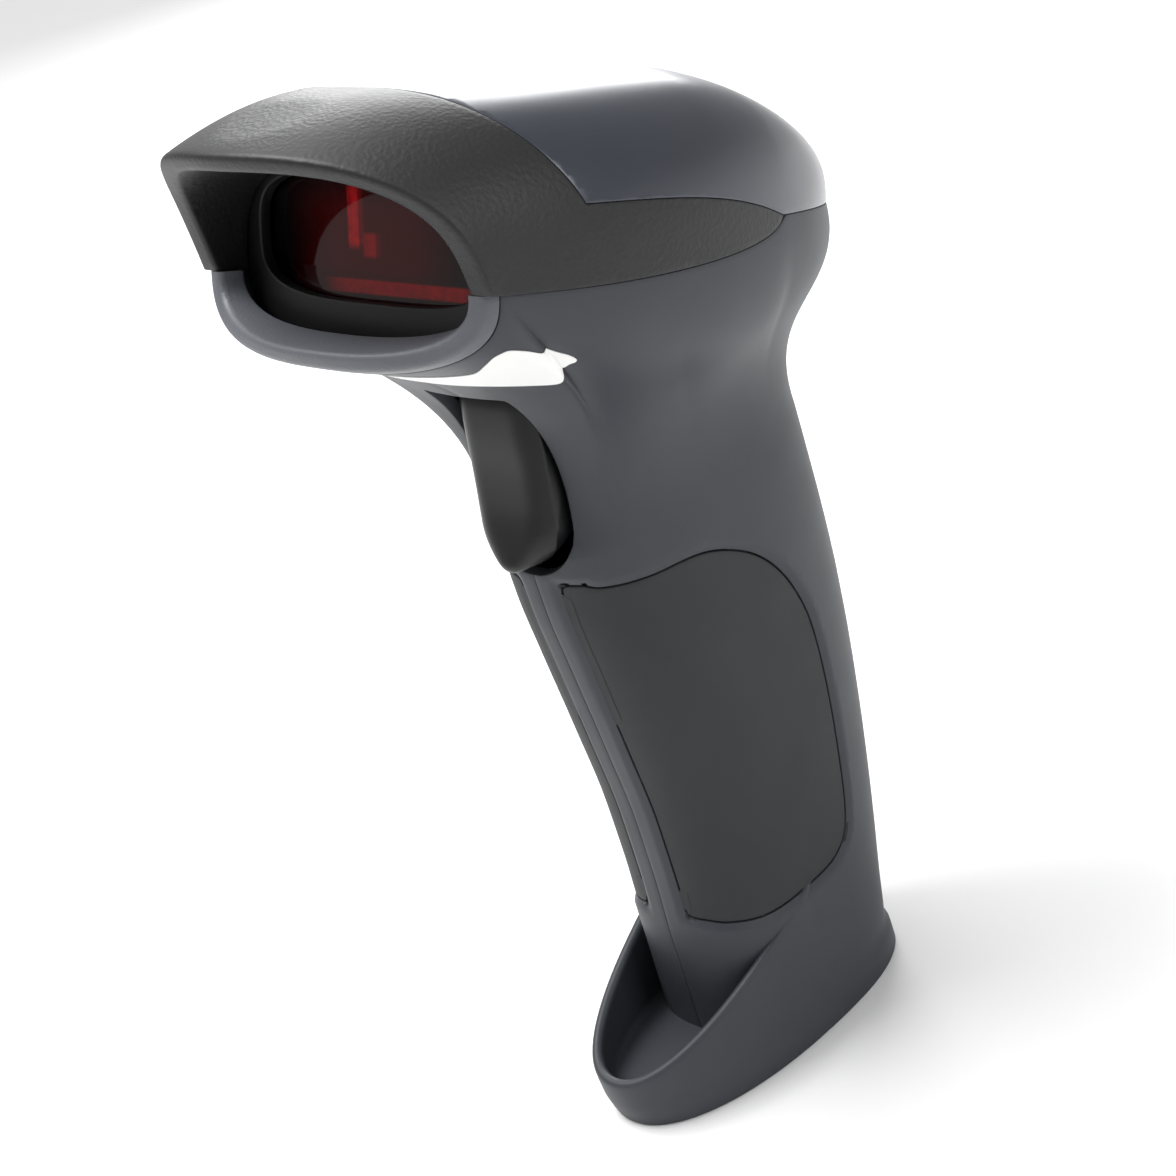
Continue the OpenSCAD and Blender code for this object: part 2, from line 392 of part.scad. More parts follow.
module engine_screws() color([0.6, 0.6, 0.62]) in_head() for (x = [-17, 17], y = [21, 37]) translate([x, y, -4.5]) { cylinder(d = 3.2, h = 1.2, $fn = 24); translate([0, 0, -6]) cylinder(d = 1.6, h = 6, $fn = 16); }

// ---- main board, head frame ----
board_z = 13.5;
module main_board() color([0.05, 0.32, 0.16]) in_head() difference() {
    translate([-22, 13, board_z]) linear_extrude(board) polygon([[2, 0], [42, 0], [44, 2], [44, 34], [36, 45], [8, 45], [0, 34], [0, 2]]);
    for (x = [-19, 19], y = [16, 43]) translate([x, y, board_z - 1]) cylinder(d = 1.8, h = 4, $fn = 24);
}
module board_chips() color([0.08, 0.08, 0.09]) in_head() {
    translate([-14, 22, board_z + board]) cube([12, 12, 1.4]);
    translate([2, 20, board_z + board]) cube([8, 10, 1.1]);
    translate([2, 34, board_z + board]) cube([6, 5, 1]);
    translate([-12, 40, board_z + board]) cube([7, 4.4, 1.2]);
    for (k = [0 : 5]) translate([12, 20 + 3 * k, board_z + board]) cube([1.6, 0.9, 0.8]);
    for (k = [0 : 4]) translate([-17.5, 22 + 3 * k, board_z + board]) cube([1.6, 0.9, 0.8]);
    translate([12, 39, board_z + board]) cylinder(d = 4, h = 3, $fn = 24);
}
module board_connectors() color([0.82, 0.8, 0.72]) in_head() { translate([-6, 50.6, board_z - 2.2]) cube([12, 4, 2.2]); translate([-8, 14, board_z - 2]) cube([8, 3.4, 2]); translate([10, 50, board_z - 2.4]) cube([4.6, 4, 2.4]); }
module board_screws() color([0.6, 0.6, 0.62]) in_head() for (x = [-19, 19], y = [16, 43]) translate([x, y, board_z + board]) { cylinder(d = 3, h = 1.1, $fn = 24); translate([0, 0, -6]) cylinder(d = 1.4, h = 6, $fn = 16); }
module beeper() color([0.1, 0.1, 0.1]) in_head() translate([0, 77, 6.3]) rotate([90, 0, 0]) difference() { cylinder(d = 12, h = 6, $fn = 48); translate([0, 0, -0.1]) cylinder(d = 2.2, h = 1.2, $fn = 24); }

// ---- handle, part frame ----
module battery_cell() color([0.15, 0.35, 0.6]) translate([0, cell_y, cell_z]) { cylinder(d = cell_diameter, h = cell_length - 1.5, $fn = 60); cylinder(d = 6.4, h = cell_length, $fn = 32); }
module battery_holder() color([0.14, 0.14, 0.15]) difference() {
    union() { translate([-10, 6.2, 11]) cube([20, 14, 71]); }
    translate([0, cell_y, cell_z - 0.8]) cylinder(d = cell_diameter + 0.3, h = cell_length + 1.6, $fn = 60);
    translate([-7, 16, cell_z + 6]) cube([14, 10, cell_length - 12]);
}
module battery_contacts() color([0.75, 0.7, 0.5]) for (z = [cell_z - 0.8, cell_z + cell_length]) translate([-3.4, cell_y - 5, z]) cube([6.8, 8, 0.8]);
module harness() color([0.75, 0.45, 0.15]) {
    p = hr([0, 49, -3]); q = hr([0, 52.6, board_z - 2.2]);
    translate([-4, 0, 0]) rotate([90, 0, 90]) linear_extrude(8) polygon([[5.4, 15 + board], [5.4, 110], [p[1], p[2]], [q[1] - 0.2, q[2]], [q[1] + 0.2, q[2]], [p[1] + 0.4, p[2] - 0.2], [5.8, 109.8], [5.8, 15 + board]]);
}
module case_screws() color([0.6, 0.6, 0.62]) for (p = screw_at) translate([-screw_reach, p[0], p[1]]) rotate([0, 90, 0]) { translate([0, 0, -2]) difference() { cylinder(d = 4.2, h = 2, $fn = 32); translate([-1.2, -0.25, -0.1]) cube([2.4, 0.5, 0.9]); translate([-0.25, -1.2, -0.1]) cube([0.5, 2.4, 0.9]); } cylinder(d = 2, h = 2 * screw_reach, $fn = 24); }
module label() color([0.93, 0.93, 0.92]) moulding() intersection() {
    difference() { body_outer(-0.12); body_outer(-0.01); }
    translate([0, -50, 115]) cube([120, 80, 50], center = true);
    linear_extrude(160) polygon([[17.9, -24.8], [21.5, -25.7], [24.5, -26.3], [26.3, -26.4], [27.6, -25.8], [28.4, -24], [28.8, -22], [29.2, -18.5], [29.3, -16.3], [28.4, -15.4], [27.2, -16.2], [26, -17.8], [22, -18.4],
        [-22, -18.4], [-26, -17.8], [-27.2, -16.2], [-28.4, -15.4], [-29.3, -16.3], [-29.2, -18.5], [-28.8, -22], [-28.4, -24], [-27.6, -25.8], [-26.3, -26.4], [-24.5, -26.3], [-21.5, -25.7], [-17.9, -24.8]]);
}

shell_right();
shell_left();
hood();
top_cover();
mouth_lip();
window_bezel();
window();
window_gasket();
grip_right();
grip_left();
base_plate();
trigger();
trigger_pin();
trigger_spring();
switch_body();
switch_plunger();
switch_board();
engine_frame();
laser_barrel();
laser_diode();
scan_mirror();
mirror_pin();
mirror_coil();
collecting_lens();
detector_board();
main_board();
board_chips();
board_connectors();
beeper();
battery_cell();
battery_holder();
battery_contacts();
harness();
port_board();
data_jack();
label();
case_screws();
engine_screws();
board_screws();
base_screws();
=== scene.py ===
"""Looks of a handheld barcode scanner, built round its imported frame.

Design sizes are in millimetres in the frame of the part: X is the width, Y the depth with the
window towards -Y, and Z is up from the face that the foot stands on.
"""

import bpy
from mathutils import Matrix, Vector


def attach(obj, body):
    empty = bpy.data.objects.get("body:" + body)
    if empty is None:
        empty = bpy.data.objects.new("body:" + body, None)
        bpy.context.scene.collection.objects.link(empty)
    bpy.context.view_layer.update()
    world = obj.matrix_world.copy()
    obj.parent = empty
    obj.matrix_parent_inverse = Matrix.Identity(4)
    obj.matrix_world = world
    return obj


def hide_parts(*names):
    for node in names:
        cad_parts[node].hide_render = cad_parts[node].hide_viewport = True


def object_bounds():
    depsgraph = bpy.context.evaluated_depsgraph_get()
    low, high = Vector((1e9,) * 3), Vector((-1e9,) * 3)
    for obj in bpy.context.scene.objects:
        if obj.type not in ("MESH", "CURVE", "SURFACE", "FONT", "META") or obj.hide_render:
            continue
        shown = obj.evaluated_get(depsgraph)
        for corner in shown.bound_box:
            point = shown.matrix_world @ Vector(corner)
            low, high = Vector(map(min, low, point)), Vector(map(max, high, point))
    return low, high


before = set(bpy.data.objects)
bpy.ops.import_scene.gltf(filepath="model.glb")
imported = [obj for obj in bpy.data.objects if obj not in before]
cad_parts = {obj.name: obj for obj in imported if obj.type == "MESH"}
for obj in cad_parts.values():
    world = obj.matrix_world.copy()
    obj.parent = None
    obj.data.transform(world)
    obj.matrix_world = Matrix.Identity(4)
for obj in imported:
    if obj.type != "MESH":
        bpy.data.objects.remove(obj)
CAD_BOX = [[float(c) for c in corner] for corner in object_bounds()]

import logging
import math
from dataclasses import dataclass
from enum import Enum
from typing import Callable, Sequence

import bmesh
import bpy
import numpy as np
from mathutils import Matrix, Vector
from mathutils.kdtree import KDTree

LOG = logging.getLogger("scanner")
MM = 0.001
FULL_TURN = 2 * math.pi
QUARTER = math.pi / 2
Field = Callable[[np.ndarray], np.ndarray]
Colour = tuple[float, float, float]
Place = tuple[float, float, float]


# ---------------------------------------------------------------- small sums


def mix(a: float, b: float, t: float) -> float:
    """The value a part t of the way from a to b."""
    return a + (b - a) * t


def clamp01(t: float) -> float:
    """t held between 0 and 1."""
    return max(0.0, min(1.0, t))


def ease(t: float) -> float:
    """A smooth step from 0 to 1."""
    u = clamp01(t)
    return u * u * (3 - 2 * u)


def signed_power(v: float, e: float) -> float:
    """abs(v) to the power e, with the sign of v."""
    return math.copysign(abs(v) ** e, v)


def bezier(p: Sequence[Vector], t: float) -> Vector:
    """A point on the Bezier curve with three or four control points.

    Args:
        p: The control points.
        t: The place along the curve, from 0 to 1.

    Returns:
        The point.
    """
    points = list(p)
    while len(points) > 1:
        points = [a.lerp(b, t) for a, b in zip(points, points[1:])]
    return points[0]


def corner(before: Vector, at: Vector, after: Vector, radius: float, steps: int) -> list[Vector]:
    """A rounded corner between two straight runs.

    Args:
        before: A point on the run that comes in.
        at: The sharp corner.
        after: A point on the run that goes out.
        radius: How far from the corner the rounding starts.
        steps: The number of segments in the rounding.

    Returns:
        The points of the rounding, first to last.
    """
    start = at + (before - at).normalized() * min(radius, (before - at).length / 2)
    end = at + (after - at).normalized() * min(radius, (after - at).length / 2)
    return [bezier((start, at, end), k / steps) for k in range(steps + 1)]


class Profile:
    """A smooth curve through a few knots that never overshoots them."""

    def __init__(self, *knots: tuple[float, float]) -> None:
        """Keeps the knots, as pairs of place and value in rising order."""
        self.x = [k[0] for k in knots]
        self.y = [k[1] for k in knots]
        slope = [(b - a) / (d - c) for a, b, c, d in zip(self.y, self.y[1:], self.x, self.x[1:])]
        inner = [0.0 if s * t <= 0 else 2 * s * t / (s + t) for s, t in zip(slope, slope[1:])]
        self.m = [slope[0], *inner, slope[-1]]

    def __call__(self, x: float) -> float:
        """The value at x, level beyond the ends."""
        if x <= self.x[0]:
            return self.y[0]
        if x >= self.x[-1]:
            return self.y[-1]
        k = next(i for i in range(len(self.x) - 1) if x <= self.x[i + 1])
        h = self.x[k + 1] - self.x[k]
        t = (x - self.x[k]) / h
        start = (2 * t - 3) * t * t + 1
        return (
            start * self.y[k]
            + ((t - 2) * t + 1) * t * h * self.m[k]
            + (1 - start) * self.y[k + 1]
            + (t - 1) * t * t * h * self.m[k + 1]
        )


# ---------------------------------------------------------------- meshes


def ease_edges(bm: bmesh.types.BMesh, edges: list, radius: float, segments: int, clamp: bool) -> None:
    """Rounds some edges of a mesh.

    Args:
        bm: The mesh.
        edges: The edges to round.
        radius: The width of the rounding.
        segments: The number of faces across it.
        clamp: Whether roundings stop where they would meet.
    """
    bmesh.ops.bevel(
        bm, geom=edges, offset=radius, affect="EDGES", segments=segments, profile=0.5, material=-1,
        clamp_overlap=clamp,
    )


class Skin:
    """A moulded skin: a grid laid on a surface, cut along seams, then given its wall."""

    SNAP = 0.22
    ON_LINE = 2e-3

    def __init__(self, points: Sequence[Sequence[Vector]], closed: bool = False) -> None:
        """Lays a grid over rows of points.

        Args:
            points: Rows of points in millimetres, each as long as the others. Seen from outside,
                a row runs to the right of the way that the rows follow each other.
            closed: Whether the last row comes back to the first, so that the sheet is a tube.
        """
        self.bm = bmesh.new()
        rows, columns = len(points) - 1, len(points[0]) - 1
        bmesh.ops.create_grid(self.bm, x_segments=columns, y_segments=rows, size=0.5)
        for vert in self.bm.verts:
            i = round((vert.co.x + 0.5) * columns)
            j = round((vert.co.y + 0.5) * rows)
            vert.co = points[0 if closed and j == rows else j][i]
        bmesh.ops.remove_doubles(self.bm, verts=self.bm.verts, dist=1e-4)
        self.kept: set[bmesh.types.BMVert] = set()
        self.edge_radius = 0.0

    def places(self) -> np.ndarray:
        """The vertices' places, as an array of one row each."""
        return np.array([v.co for v in self.bm.verts])

    def refine(self, region: Field, cuts: int) -> None:
        """Divides the faces of a region, so that a small opening can be cut there.

        Args:
            region: Positive inside the region.
            cuts: The number of cuts along each edge.
        """
        faces = list(self.bm.faces)
        inside = region(np.array([f.calc_center_median() for f in faces])) > 0
        edges = {e for f, k in zip(faces, inside) if k for e in f.edges}
        bmesh.ops.subdivide_edges(self.bm, edges=list(edges), cuts=cuts, use_grid_fill=True)

    def cut(self, line: Field) -> None:
        """Runs a line of edges along the places where a field is 0.

        Args:
            line: The field, over the vertices' places.
        """
        bm = self.bm
        value = dict(zip(bm.verts, (float(x) for x in line(self.places()))))
        for edge in bm.edges:
            a, b = edge.verts
            if value[a] * value[b] >= 0:
                continue
            t = value[a] / (value[a] - value[b])
            near, far = (a, b) if t < 0.5 else (b, a)
            if min(t, 1 - t) > self.SNAP:
                continue
            held = near in self.kept and far not in self.kept
            if held or (near.is_boundary and not edge.is_boundary):
                continue
            near.co = near.co.lerp(far.co, min(t, 1 - t))
            value[near] = 0.0
        on = {v for v, x in value.items() if abs(x) < self.ON_LINE}
        for edge in [e for e in bm.edges if value[e.verts[0]] * value[e.verts[1]] < 0]:
            a, b = edge.verts
            if not {a, b} & on:
                on.add(bmesh.utils.edge_split(edge, a, value[a] / (value[a] - value[b]))[1])
        bmesh.ops.connect_verts(bm, verts=list(on))
        self.kept = {v for v in self.kept | on if v.is_valid}

    def trim(self, keep: Field) -> None:
        """Takes away the faces whose middles lie where the field is negative."""
        faces = list(self.bm.faces)
        inside = keep(np.array([f.calc_center_median() for f in faces])) > 0
        drop = [f for f, k in zip(faces, inside) if not k]
        bmesh.ops.delete(self.bm, geom=drop, context="FACES")
        self.kept = {v for v in self.kept if v.is_valid}

    def round_edges(self, radius: float) -> None:
        """Lays narrow strips along every free edge, for thicken to round over.

        Args:
            radius: The radius of the rounding.
        """
        for width in (radius, radius * 0.35):
            bmesh.ops.inset_region(
                self.bm, faces=self.bm.faces, thickness=width, use_boundary=True, use_even_offset=False
            )
        self.edge_radius = radius

    def edge_sink(self) -> np.ndarray:
        """How deep the rounding of the free edges puts each vertex."""
        radius = self.edge_radius
        if not radius:
            return np.zeros(len(self.bm.verts))
        marks = []
        for edge in self.bm.edges:
            if edge.is_boundary:
                a, b = edge.verts
                steps = max(1, int(edge.calc_length() / (radius / 3)))
                marks += [a.co.lerp(b.co, k / steps) for k in range(steps + 1)]
        tree = KDTree(len(marks))
        for k, mark in enumerate(marks):
            tree.insert(mark, k)
        tree.balance()
        away = np.array([min(tree.find(v.co)[2], radius) for v in self.bm.verts])
        return radius - np.sqrt(np.maximum(0, radius**2 - (radius - away) ** 2))

    def thicken(self, wall: float, sink: Field | None = None, seam: bool = False) -> None:
        """Gives the sheet its wall and closes it all round.

        Args:
            wall: The wall's thickness, inwards from the sheet.
            sink: How deep the outer face is pressed in, over the vertices' places.
            seam: Whether vertices at X = 0 lie on a seam that the wall must not cross.
        """
        bm = self.bm
        bm.normal_update()
        number = bm.verts.layers.int.new("number")
        outer = list(bm.verts)
        depth = self.edge_sink()
        if sink is not None:
            depth = np.maximum(depth, sink(self.places()))
        inner_place = []
        for k, vert in enumerate(outer):
            vert[number] = k
            normal = vert.normal.copy()
            if seam and abs(vert.co.x) < 1e-3:
                normal.x = 0.0
                normal.normalize()
            inner = vert.co - normal * wall
            if seam and inner.x * (1 if vert.co.x >= 0 else -1) < 0:
                inner.x = 0.0
            inner_place.append(inner)
            vert.co = vert.co - normal * float(depth[k])
        rim = [e for e in bm.edges if e.is_boundary]
        faces = list(bm.faces)
        copy = bmesh.ops.duplicate(bm, geom=outer + list(bm.edges) + faces)["geom"]
        walls = bmesh.ops.extrude_edge_only(bm, edges=rim)["geom"]
        moved = [g for g in copy + walls if isinstance(g, bmesh.types.BMVert)]
        for vert in moved:
            vert.co = inner_place[vert[number]]
        bmesh.ops.reverse_faces(bm, faces=[g for g in copy if isinstance(g, bmesh.types.BMFace)])
        bmesh.ops.remove_doubles(bm, verts=moved, dist=1e-4)
        bm.verts.layers.int.remove(number)
        bmesh.ops.recalc_face_normals(bm, faces=bm.faces)

    def close_ends(self) -> None:
        """Puts a face over each open end and turns every face outwards."""
        rim = [e for e in self.bm.edges if e.is_boundary]
        bmesh.ops.holes_fill(self.bm, edges=rim, sides=0)
        bmesh.ops.recalc_face_normals(self.bm, faces=self.bm.faces)

    @classmethod
    def around(cls, bm: bmesh.types.BMesh) -> "Skin":
        """A skin that takes over a mesh already made."""
        skin = cls.__new__(cls)
        skin.bm, skin.kept, skin.edge_radius = bm, set(), 0.0
        return skin

    def mirrored(self) -> "Skin":
        """The same skin on the other side of X = 0."""
        other = Skin.around(self.bm.copy())
        bmesh.ops.scale(other.bm, vec=(-1, 1, 1), verts=other.bm.verts)
        bmesh.ops.reverse_faces(other.bm, faces=other.bm.faces)
        return other

    def join(self, other: "Skin") -> None:
        """Takes the faces of another skin into this one."""
        mesh = bpy.data.meshes.new("joined")
        other.bm.to_mesh(mesh)
        self.bm.from_mesh(mesh)
        bpy.data.meshes.remove(mesh)


class Assembly:
    """What every sub-assembly shares: how a mesh becomes a named piece of the object."""

    def piece(
        self,
        name: str,
        bm: bmesh.types.BMesh,
        finish: "Finish",
        replaces: Sequence[str],
        body: str = "case",
        crease: float = 38.0,
    ) -> bpy.types.Object:
        """Makes a piece from a mesh in millimetres.

        Args:
            name: The piece's name.
            bm: The mesh, which is used up.
            finish: What it is made of.
            replaces: The frame's nodes that it stands for.
            body: The body that it moves with.
            crease: The angle above which an edge shades sharp, in degrees.

        Returns:
            The object.
        """
        bmesh.ops.scale(bm, vec=(MM, MM, MM), verts=bm.verts)
        for vert in bm.verts:
            vert.co = [min(max(c, low), high) for c, low, high in zip(vert.co, *CAD_BOX)]
        for face in bm.faces:
            face.smooth = True
        mesh = bpy.data.meshes.new(name)
        bm.to_mesh(mesh)
        bm.free()
        mesh.set_sharp_from_angle(angle=math.radians(crease))
        piece = bpy.data.objects.new(name, mesh)
        bpy.context.scene.collection.objects.link(piece)
        mesh.materials.append(finish.material())
        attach(piece, body)
        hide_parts(*replaces)
        LOG.info("%s: %d faces", name, len(mesh.polygons))
        return piece


# ---------------------------------------------------------------- shapes


@dataclass(frozen=True)
class Head:
    """The head's outer surfaces, in its own frame, which tilts nose up about the mouth corners."""

    pitch: float = math.radians(21)
    origin_y: float = -26.9
    origin_z: float = 145.1
    half_width: float = 34.0
    mouth_half: float = 30.6
    length: float = 85.7
    crown_height: float = 27.6
    seam: float = 6.3
    belly: float = 21.9
    crown: float = 39.9
    tail: float = 54.5
    rim_height: float = 17.4
    rim_bow: float = 11.9
    rim_lean: float = 7.5
    lip_depth: float = 10.5
    square: float = 2.9
    rim_half: float = 31.0
    rim_square: float = 3.0
    mouth_inner: tuple[float, float] = (27.1, 15.3)
    mouth_square: float = 3.3
    throat: Place = (27.6, 5.4, 15.8)

    def place(self, p: Vector) -> Vector:
        """A point of the head's frame in the part's frame."""
        c, s = math.cos(self.pitch), math.sin(self.pitch)
        return Vector((p.x, self.origin_y + p.y * c + p.z * s, self.origin_z - p.y * s + p.z * c))

    def local(self, p: np.ndarray) -> np.ndarray:
        """Rows of points of the part's frame in the head's frame."""
        c, s = math.cos(self.pitch), math.sin(self.pitch)
        y, z = p[:, 1] - self.origin_y, p[:, 2] - self.origin_z
        return np.column_stack((p[:, 0], y * c - z * s, y * s + z * c))

    def half_at(self, y: float) -> float:
        """Half of the head's width at a depth."""
        if y < self.belly:
            narrow = self.half_width - self.mouth_half
            return self.half_width - narrow * ((self.belly - y) / self.belly) ** 2
        return self.half_width * math.sqrt(max(0, 1 - ((y - self.belly) / (self.length - self.belly)) ** 2))

    def wide_z(self, y: float) -> float:
        """The height at which the head is widest."""
        return self.seam * clamp01(y / self.tail)

    def roof(self, y: float) -> float:
        """The height of the crown line."""
        if y < self.crown:
            share = 1 - 0.105 * ((self.crown - y) / self.crown) ** 2
        else:
            back = min(1.0, (y - self.crown) / (self.length - self.crown))
            share = max(0, 1 - back**1.6) ** (1 / 1.6)
        return self.wide_z(y) + (self.crown_height - self.wide_z(y)) * share

    def dome(self, y: float, a: float) -> Vector:
        """A point of the upper surface, at angle a up from the right-hand side."""
        rise = abs(math.sin(a)) ** (2 / self.square)
        x = self.half_at(y) * signed_power(math.cos(a), 2 / self.square)
        z = self.wide_z(y)
        return Vector((x, y, z + (self.roof(y) - z) * rise))

    def rim_out(self, a: float) -> Vector:
        """A point of the hood's rim, where its outer face ends."""
        x = self.rim_half * signed_power(math.cos(a), 2 / self.rim_square)
        z = self.rim_height * abs(math.sin(a)) ** (2 / self.rim_square)
        bow = self.rim_bow * (1 - (x / self.rim_half) ** 2)
        return Vector((x, -self.rim_lean * z / self.rim_height - bow, z))

    def rim_in(self, a: float) -> Vector:
        """A point of the inner edge of the hood's rim."""
        half, rise = self.mouth_inner
        x = half * signed_power(math.cos(a), 2 / self.mouth_square)
        z = rise * abs(math.sin(a)) ** (2 / self.mouth_square)
        return Vector((x, -0.4 - 6.6 * z / rise - 10.7 * (1 - (x / half) ** 2), z))

    def wing_low(self, y: np.ndarray) -> np.ndarray:
        """The height of the hood wing's lower edge."""
        t = np.clip(y / self.tail, 0, 1)
        return self.seam * (1 - (1 - t**2) ** (1 / 2.1))

    def wing_top(self, y: np.ndarray) -> np.ndarray:
        """The height of the hood wing's upper edge, behind the corner of the cover."""
        t = np.clip((y - 15.3) / (self.tail - 15.3), 0, 1)
        return 10.5 + (self.seam - 10.5) * t**3

    def cover_front(self, a: float) -> float:
        """The depth of the cover's front edge at angle a up the dome."""
        low = math.radians(8.5)
        return 15.3 - 12.5 * math.sin(QUARTER * clamp01((min(a, math.pi - a) - low) / (QUARTER - low)))

    def front_seam(self, p: np.ndarray) -> np.ndarray:
        """How far points of the dome lie in front of the cover's front edge."""
        out = []
        for x, y, z in p:
            half, low = max(0.1, self.half_at(y)), self.wide_z(y)
            c = min(1, abs(x) / half) ** (self.square / 2)
            s = clamp01((z - low) / max(0.1, self.roof(y) - low)) ** (self.square / 2)
            out.append(self.cover_front(math.atan2(s, c)) - y)
        return np.array(out)


@dataclass(frozen=True)
class Handle:
    """The handle's outer surface, in the part's frame, and the neck that carries the head."""

    head: Head
    top: float = 95.0
    square: float = 2.7
    back: Profile = Profile(
        (0, 29.4), (3.2, 29.4), (4.9, 28.8), (8, 29.6), (12, 30.6), (20, 32.8), (30, 35), (40, 36.8),
        (50, 38.2), (60, 39.2), (70, 39.8), (85, 40), (95, 40),
    )
    front: Profile = Profile(
        (0, -10.2), (22, -10), (35, -9.4), (45, -9.3), (60, -10.3), (75, -11.6), (85, -12.4), (95, -12.5)
    )
    side: Profile = Profile(
        (0, 15.9), (3.2, 15.7), (6, 15.2), (12, 14.9), (20, 14.7), (40, 15.1), (60, 15.9), (80, 16.5),
        (95, 16.5),
    )
    toe_front: Profile = Profile((0, -28.8), (5, -30.1), (9, -30.4), (14, -29.8), (18, -28.8), (24, -27.4))

    def wide_y(self, z: float) -> float:
        """The depth at which the handle is widest."""
        return mix(6, 12, clamp01(z / 90))

    def point(self, z: float, a: float) -> Vector:
        """A point of the handle's surface, at angle a round from the front."""
        yc, s = self.wide_y(z), math.sin(a)
        reach = self.back(z) - yc if s > 0 else yc - self.front(z)
        x = self.side(z) * max(0, math.cos(a)) ** (2 / self.square)
        return Vector((x, yc + signed_power(s, 2 / self.square) * reach, z))

    def edge(self, i: float) -> Vector:
        """A point of the lower head's top edge, in the head's frame; i runs 0 to 21 round one side."""
        head, k = self.head, clamp01((i - 6) / 15)
        if i <= 6:
            f = QUARTER * (1 - i / 6)
            x = 30.3 * max(0, math.cos(f)) ** (2 / 2.7)
            z = -(head.lip_depth + 0.7) * max(0, math.sin(f)) ** (2 / 2.7)
            return Vector((x, 2 - 4.5 * (1 - (x / 30.3) ** 2), z))
        if k < 0.24:
            y = mix(2, head.belly, k / 0.24)
            x = head.half_at(y) - 0.89 * (1 - k / 0.24) ** 2
        else:
            q = QUARTER * (k - 0.24) / 0.76
            x = head.half_width * math.cos(q)
            y = head.belly + (head.length - head.belly) * math.sin(q)
        return Vector((x, y, float(head.wing_low(np.array(y)))))

    def edge_way(self, i: float) -> Vector:
        """The direction in which the skin leaves the top edge, as a vector of its pull."""
        k, r = ease((i - 1) / 9), clamp01((i - 12) / 9)
        way = Vector((0, 0.95, -0.55)).lerp(Vector((0, mix(-0.12, 0.1, r), -1)), k)
        pull = mix(15, 18, i / 11) if i < 11 else mix(18, 11.4, ease((i - 11) / 10))
        return way.normalized() * pull

    def neck(self, i: float, t: float) -> Vector:
        """A point between the top edge, at t = 0, and the handle's own surface, at t = 1."""
        a = math.pi * i / 21 - QUARTER
        start = self.head.place(self.edge(i))
        end = self.point(self.top, a)
        s = math.sin(a)
        way = Vector((0, 10 * s * s, 24)) if s < 0 else Vector((0, -1.5 * s, mix(23, 17, s)))
        return bezier((start, start + self.edge_way(i), end + way, end), t)


class Outline:
    """A smooth closed outline in a plane, made of straight runs short enough to look round."""

    def __init__(self, points: Sequence[Sequence[float]], steps: int) -> None:
        """Runs a smooth line through the points, with each run between two of them divided in steps."""
        k = [np.array(p, float) for p in points]
        line = []
        for n in range(len(k)):
            a, b, c, d = k[n - 1], k[n], k[(n + 1) % len(k)], k[(n + 2) % len(k)]
            for t in np.arange(steps) / steps:
                even = 2 * b + (c - a) * t + (2 * a - 5 * b + 4 * c - d) * t**2
                line.append(0.5 * (even + (3 * b - a - 3 * c + d) * t**3))
        self.line = np.array(line)

    def inside(self, q: np.ndarray) -> np.ndarray:
        """How far inside the outline each point of the plane lies."""
        a, b = self.line, np.roll(self.line, -1, axis=0)
        q, run = q[:, None, :], b - a
        t = np.clip(((q - a) * run).sum(-1) / (run**2).sum(-1), 0, 1)
        away = np.sqrt((((a + t[..., None] * run) - q) ** 2).sum(-1)).min(1)
        crosses = (a[:, 1] > q[..., 1]) != (b[:, 1] > q[..., 1])
        with np.errstate(divide="ignore", invalid="ignore"):
            at = a[:, 0] + (q[..., 1] - a[:, 1]) / (b[:, 1] - a[:, 1]) * run[:, 0]
        odd = (crosses & (q[..., 0] < at)).sum(1) % 2 == 1
        return np.where(odd, away, -away)


class GripLine:
    """The curved edge of a grip panel, seen from the side, and its straight edge at the front."""

    KNOTS = (
        (-60, 91.5), (-36, 91.5), (-13, 91.5), (-9, 90.4), (-3, 89.6), (2, 89.2), (6.5, 88.3), (11, 86.3),
        (15.5, 83.2), (19, 79.5), (21.8, 75), (23.8, 70), (25, 65), (25.4, 58), (25, 48), (23.8, 38),
        (22.3, 30.5), (20.4, 26.4), (17.2, 24), (12, 23), (0, 23.4), (-7, 25), (-13, 27), (-36, 30),
        (-60, 30),
    )
    FRONT = 2.85
    BLEND = 1.6
    STEPS = 8

    def __init__(self) -> None:
        """Runs a smooth line through the knots."""
        self.side = Outline(self.KNOTS, self.STEPS)

    def inside(self, p: np.ndarray) -> np.ndarray:
        """How far inside the panel's edge each point lies, along the surface."""
        side = self.side.inside(p[:, 1:3])
        front = np.where(p[:, 1] < 12, np.abs(p[:, 0]) - self.FRONT, 20.0)
        h = np.clip(0.5 + 0.5 * (front - side) / self.BLEND, 0, 1)
        return front * (1 - h) + side * h - self.BLEND * h * (1 - h)


# ---------------------------------------------------------------- sub-assemblies


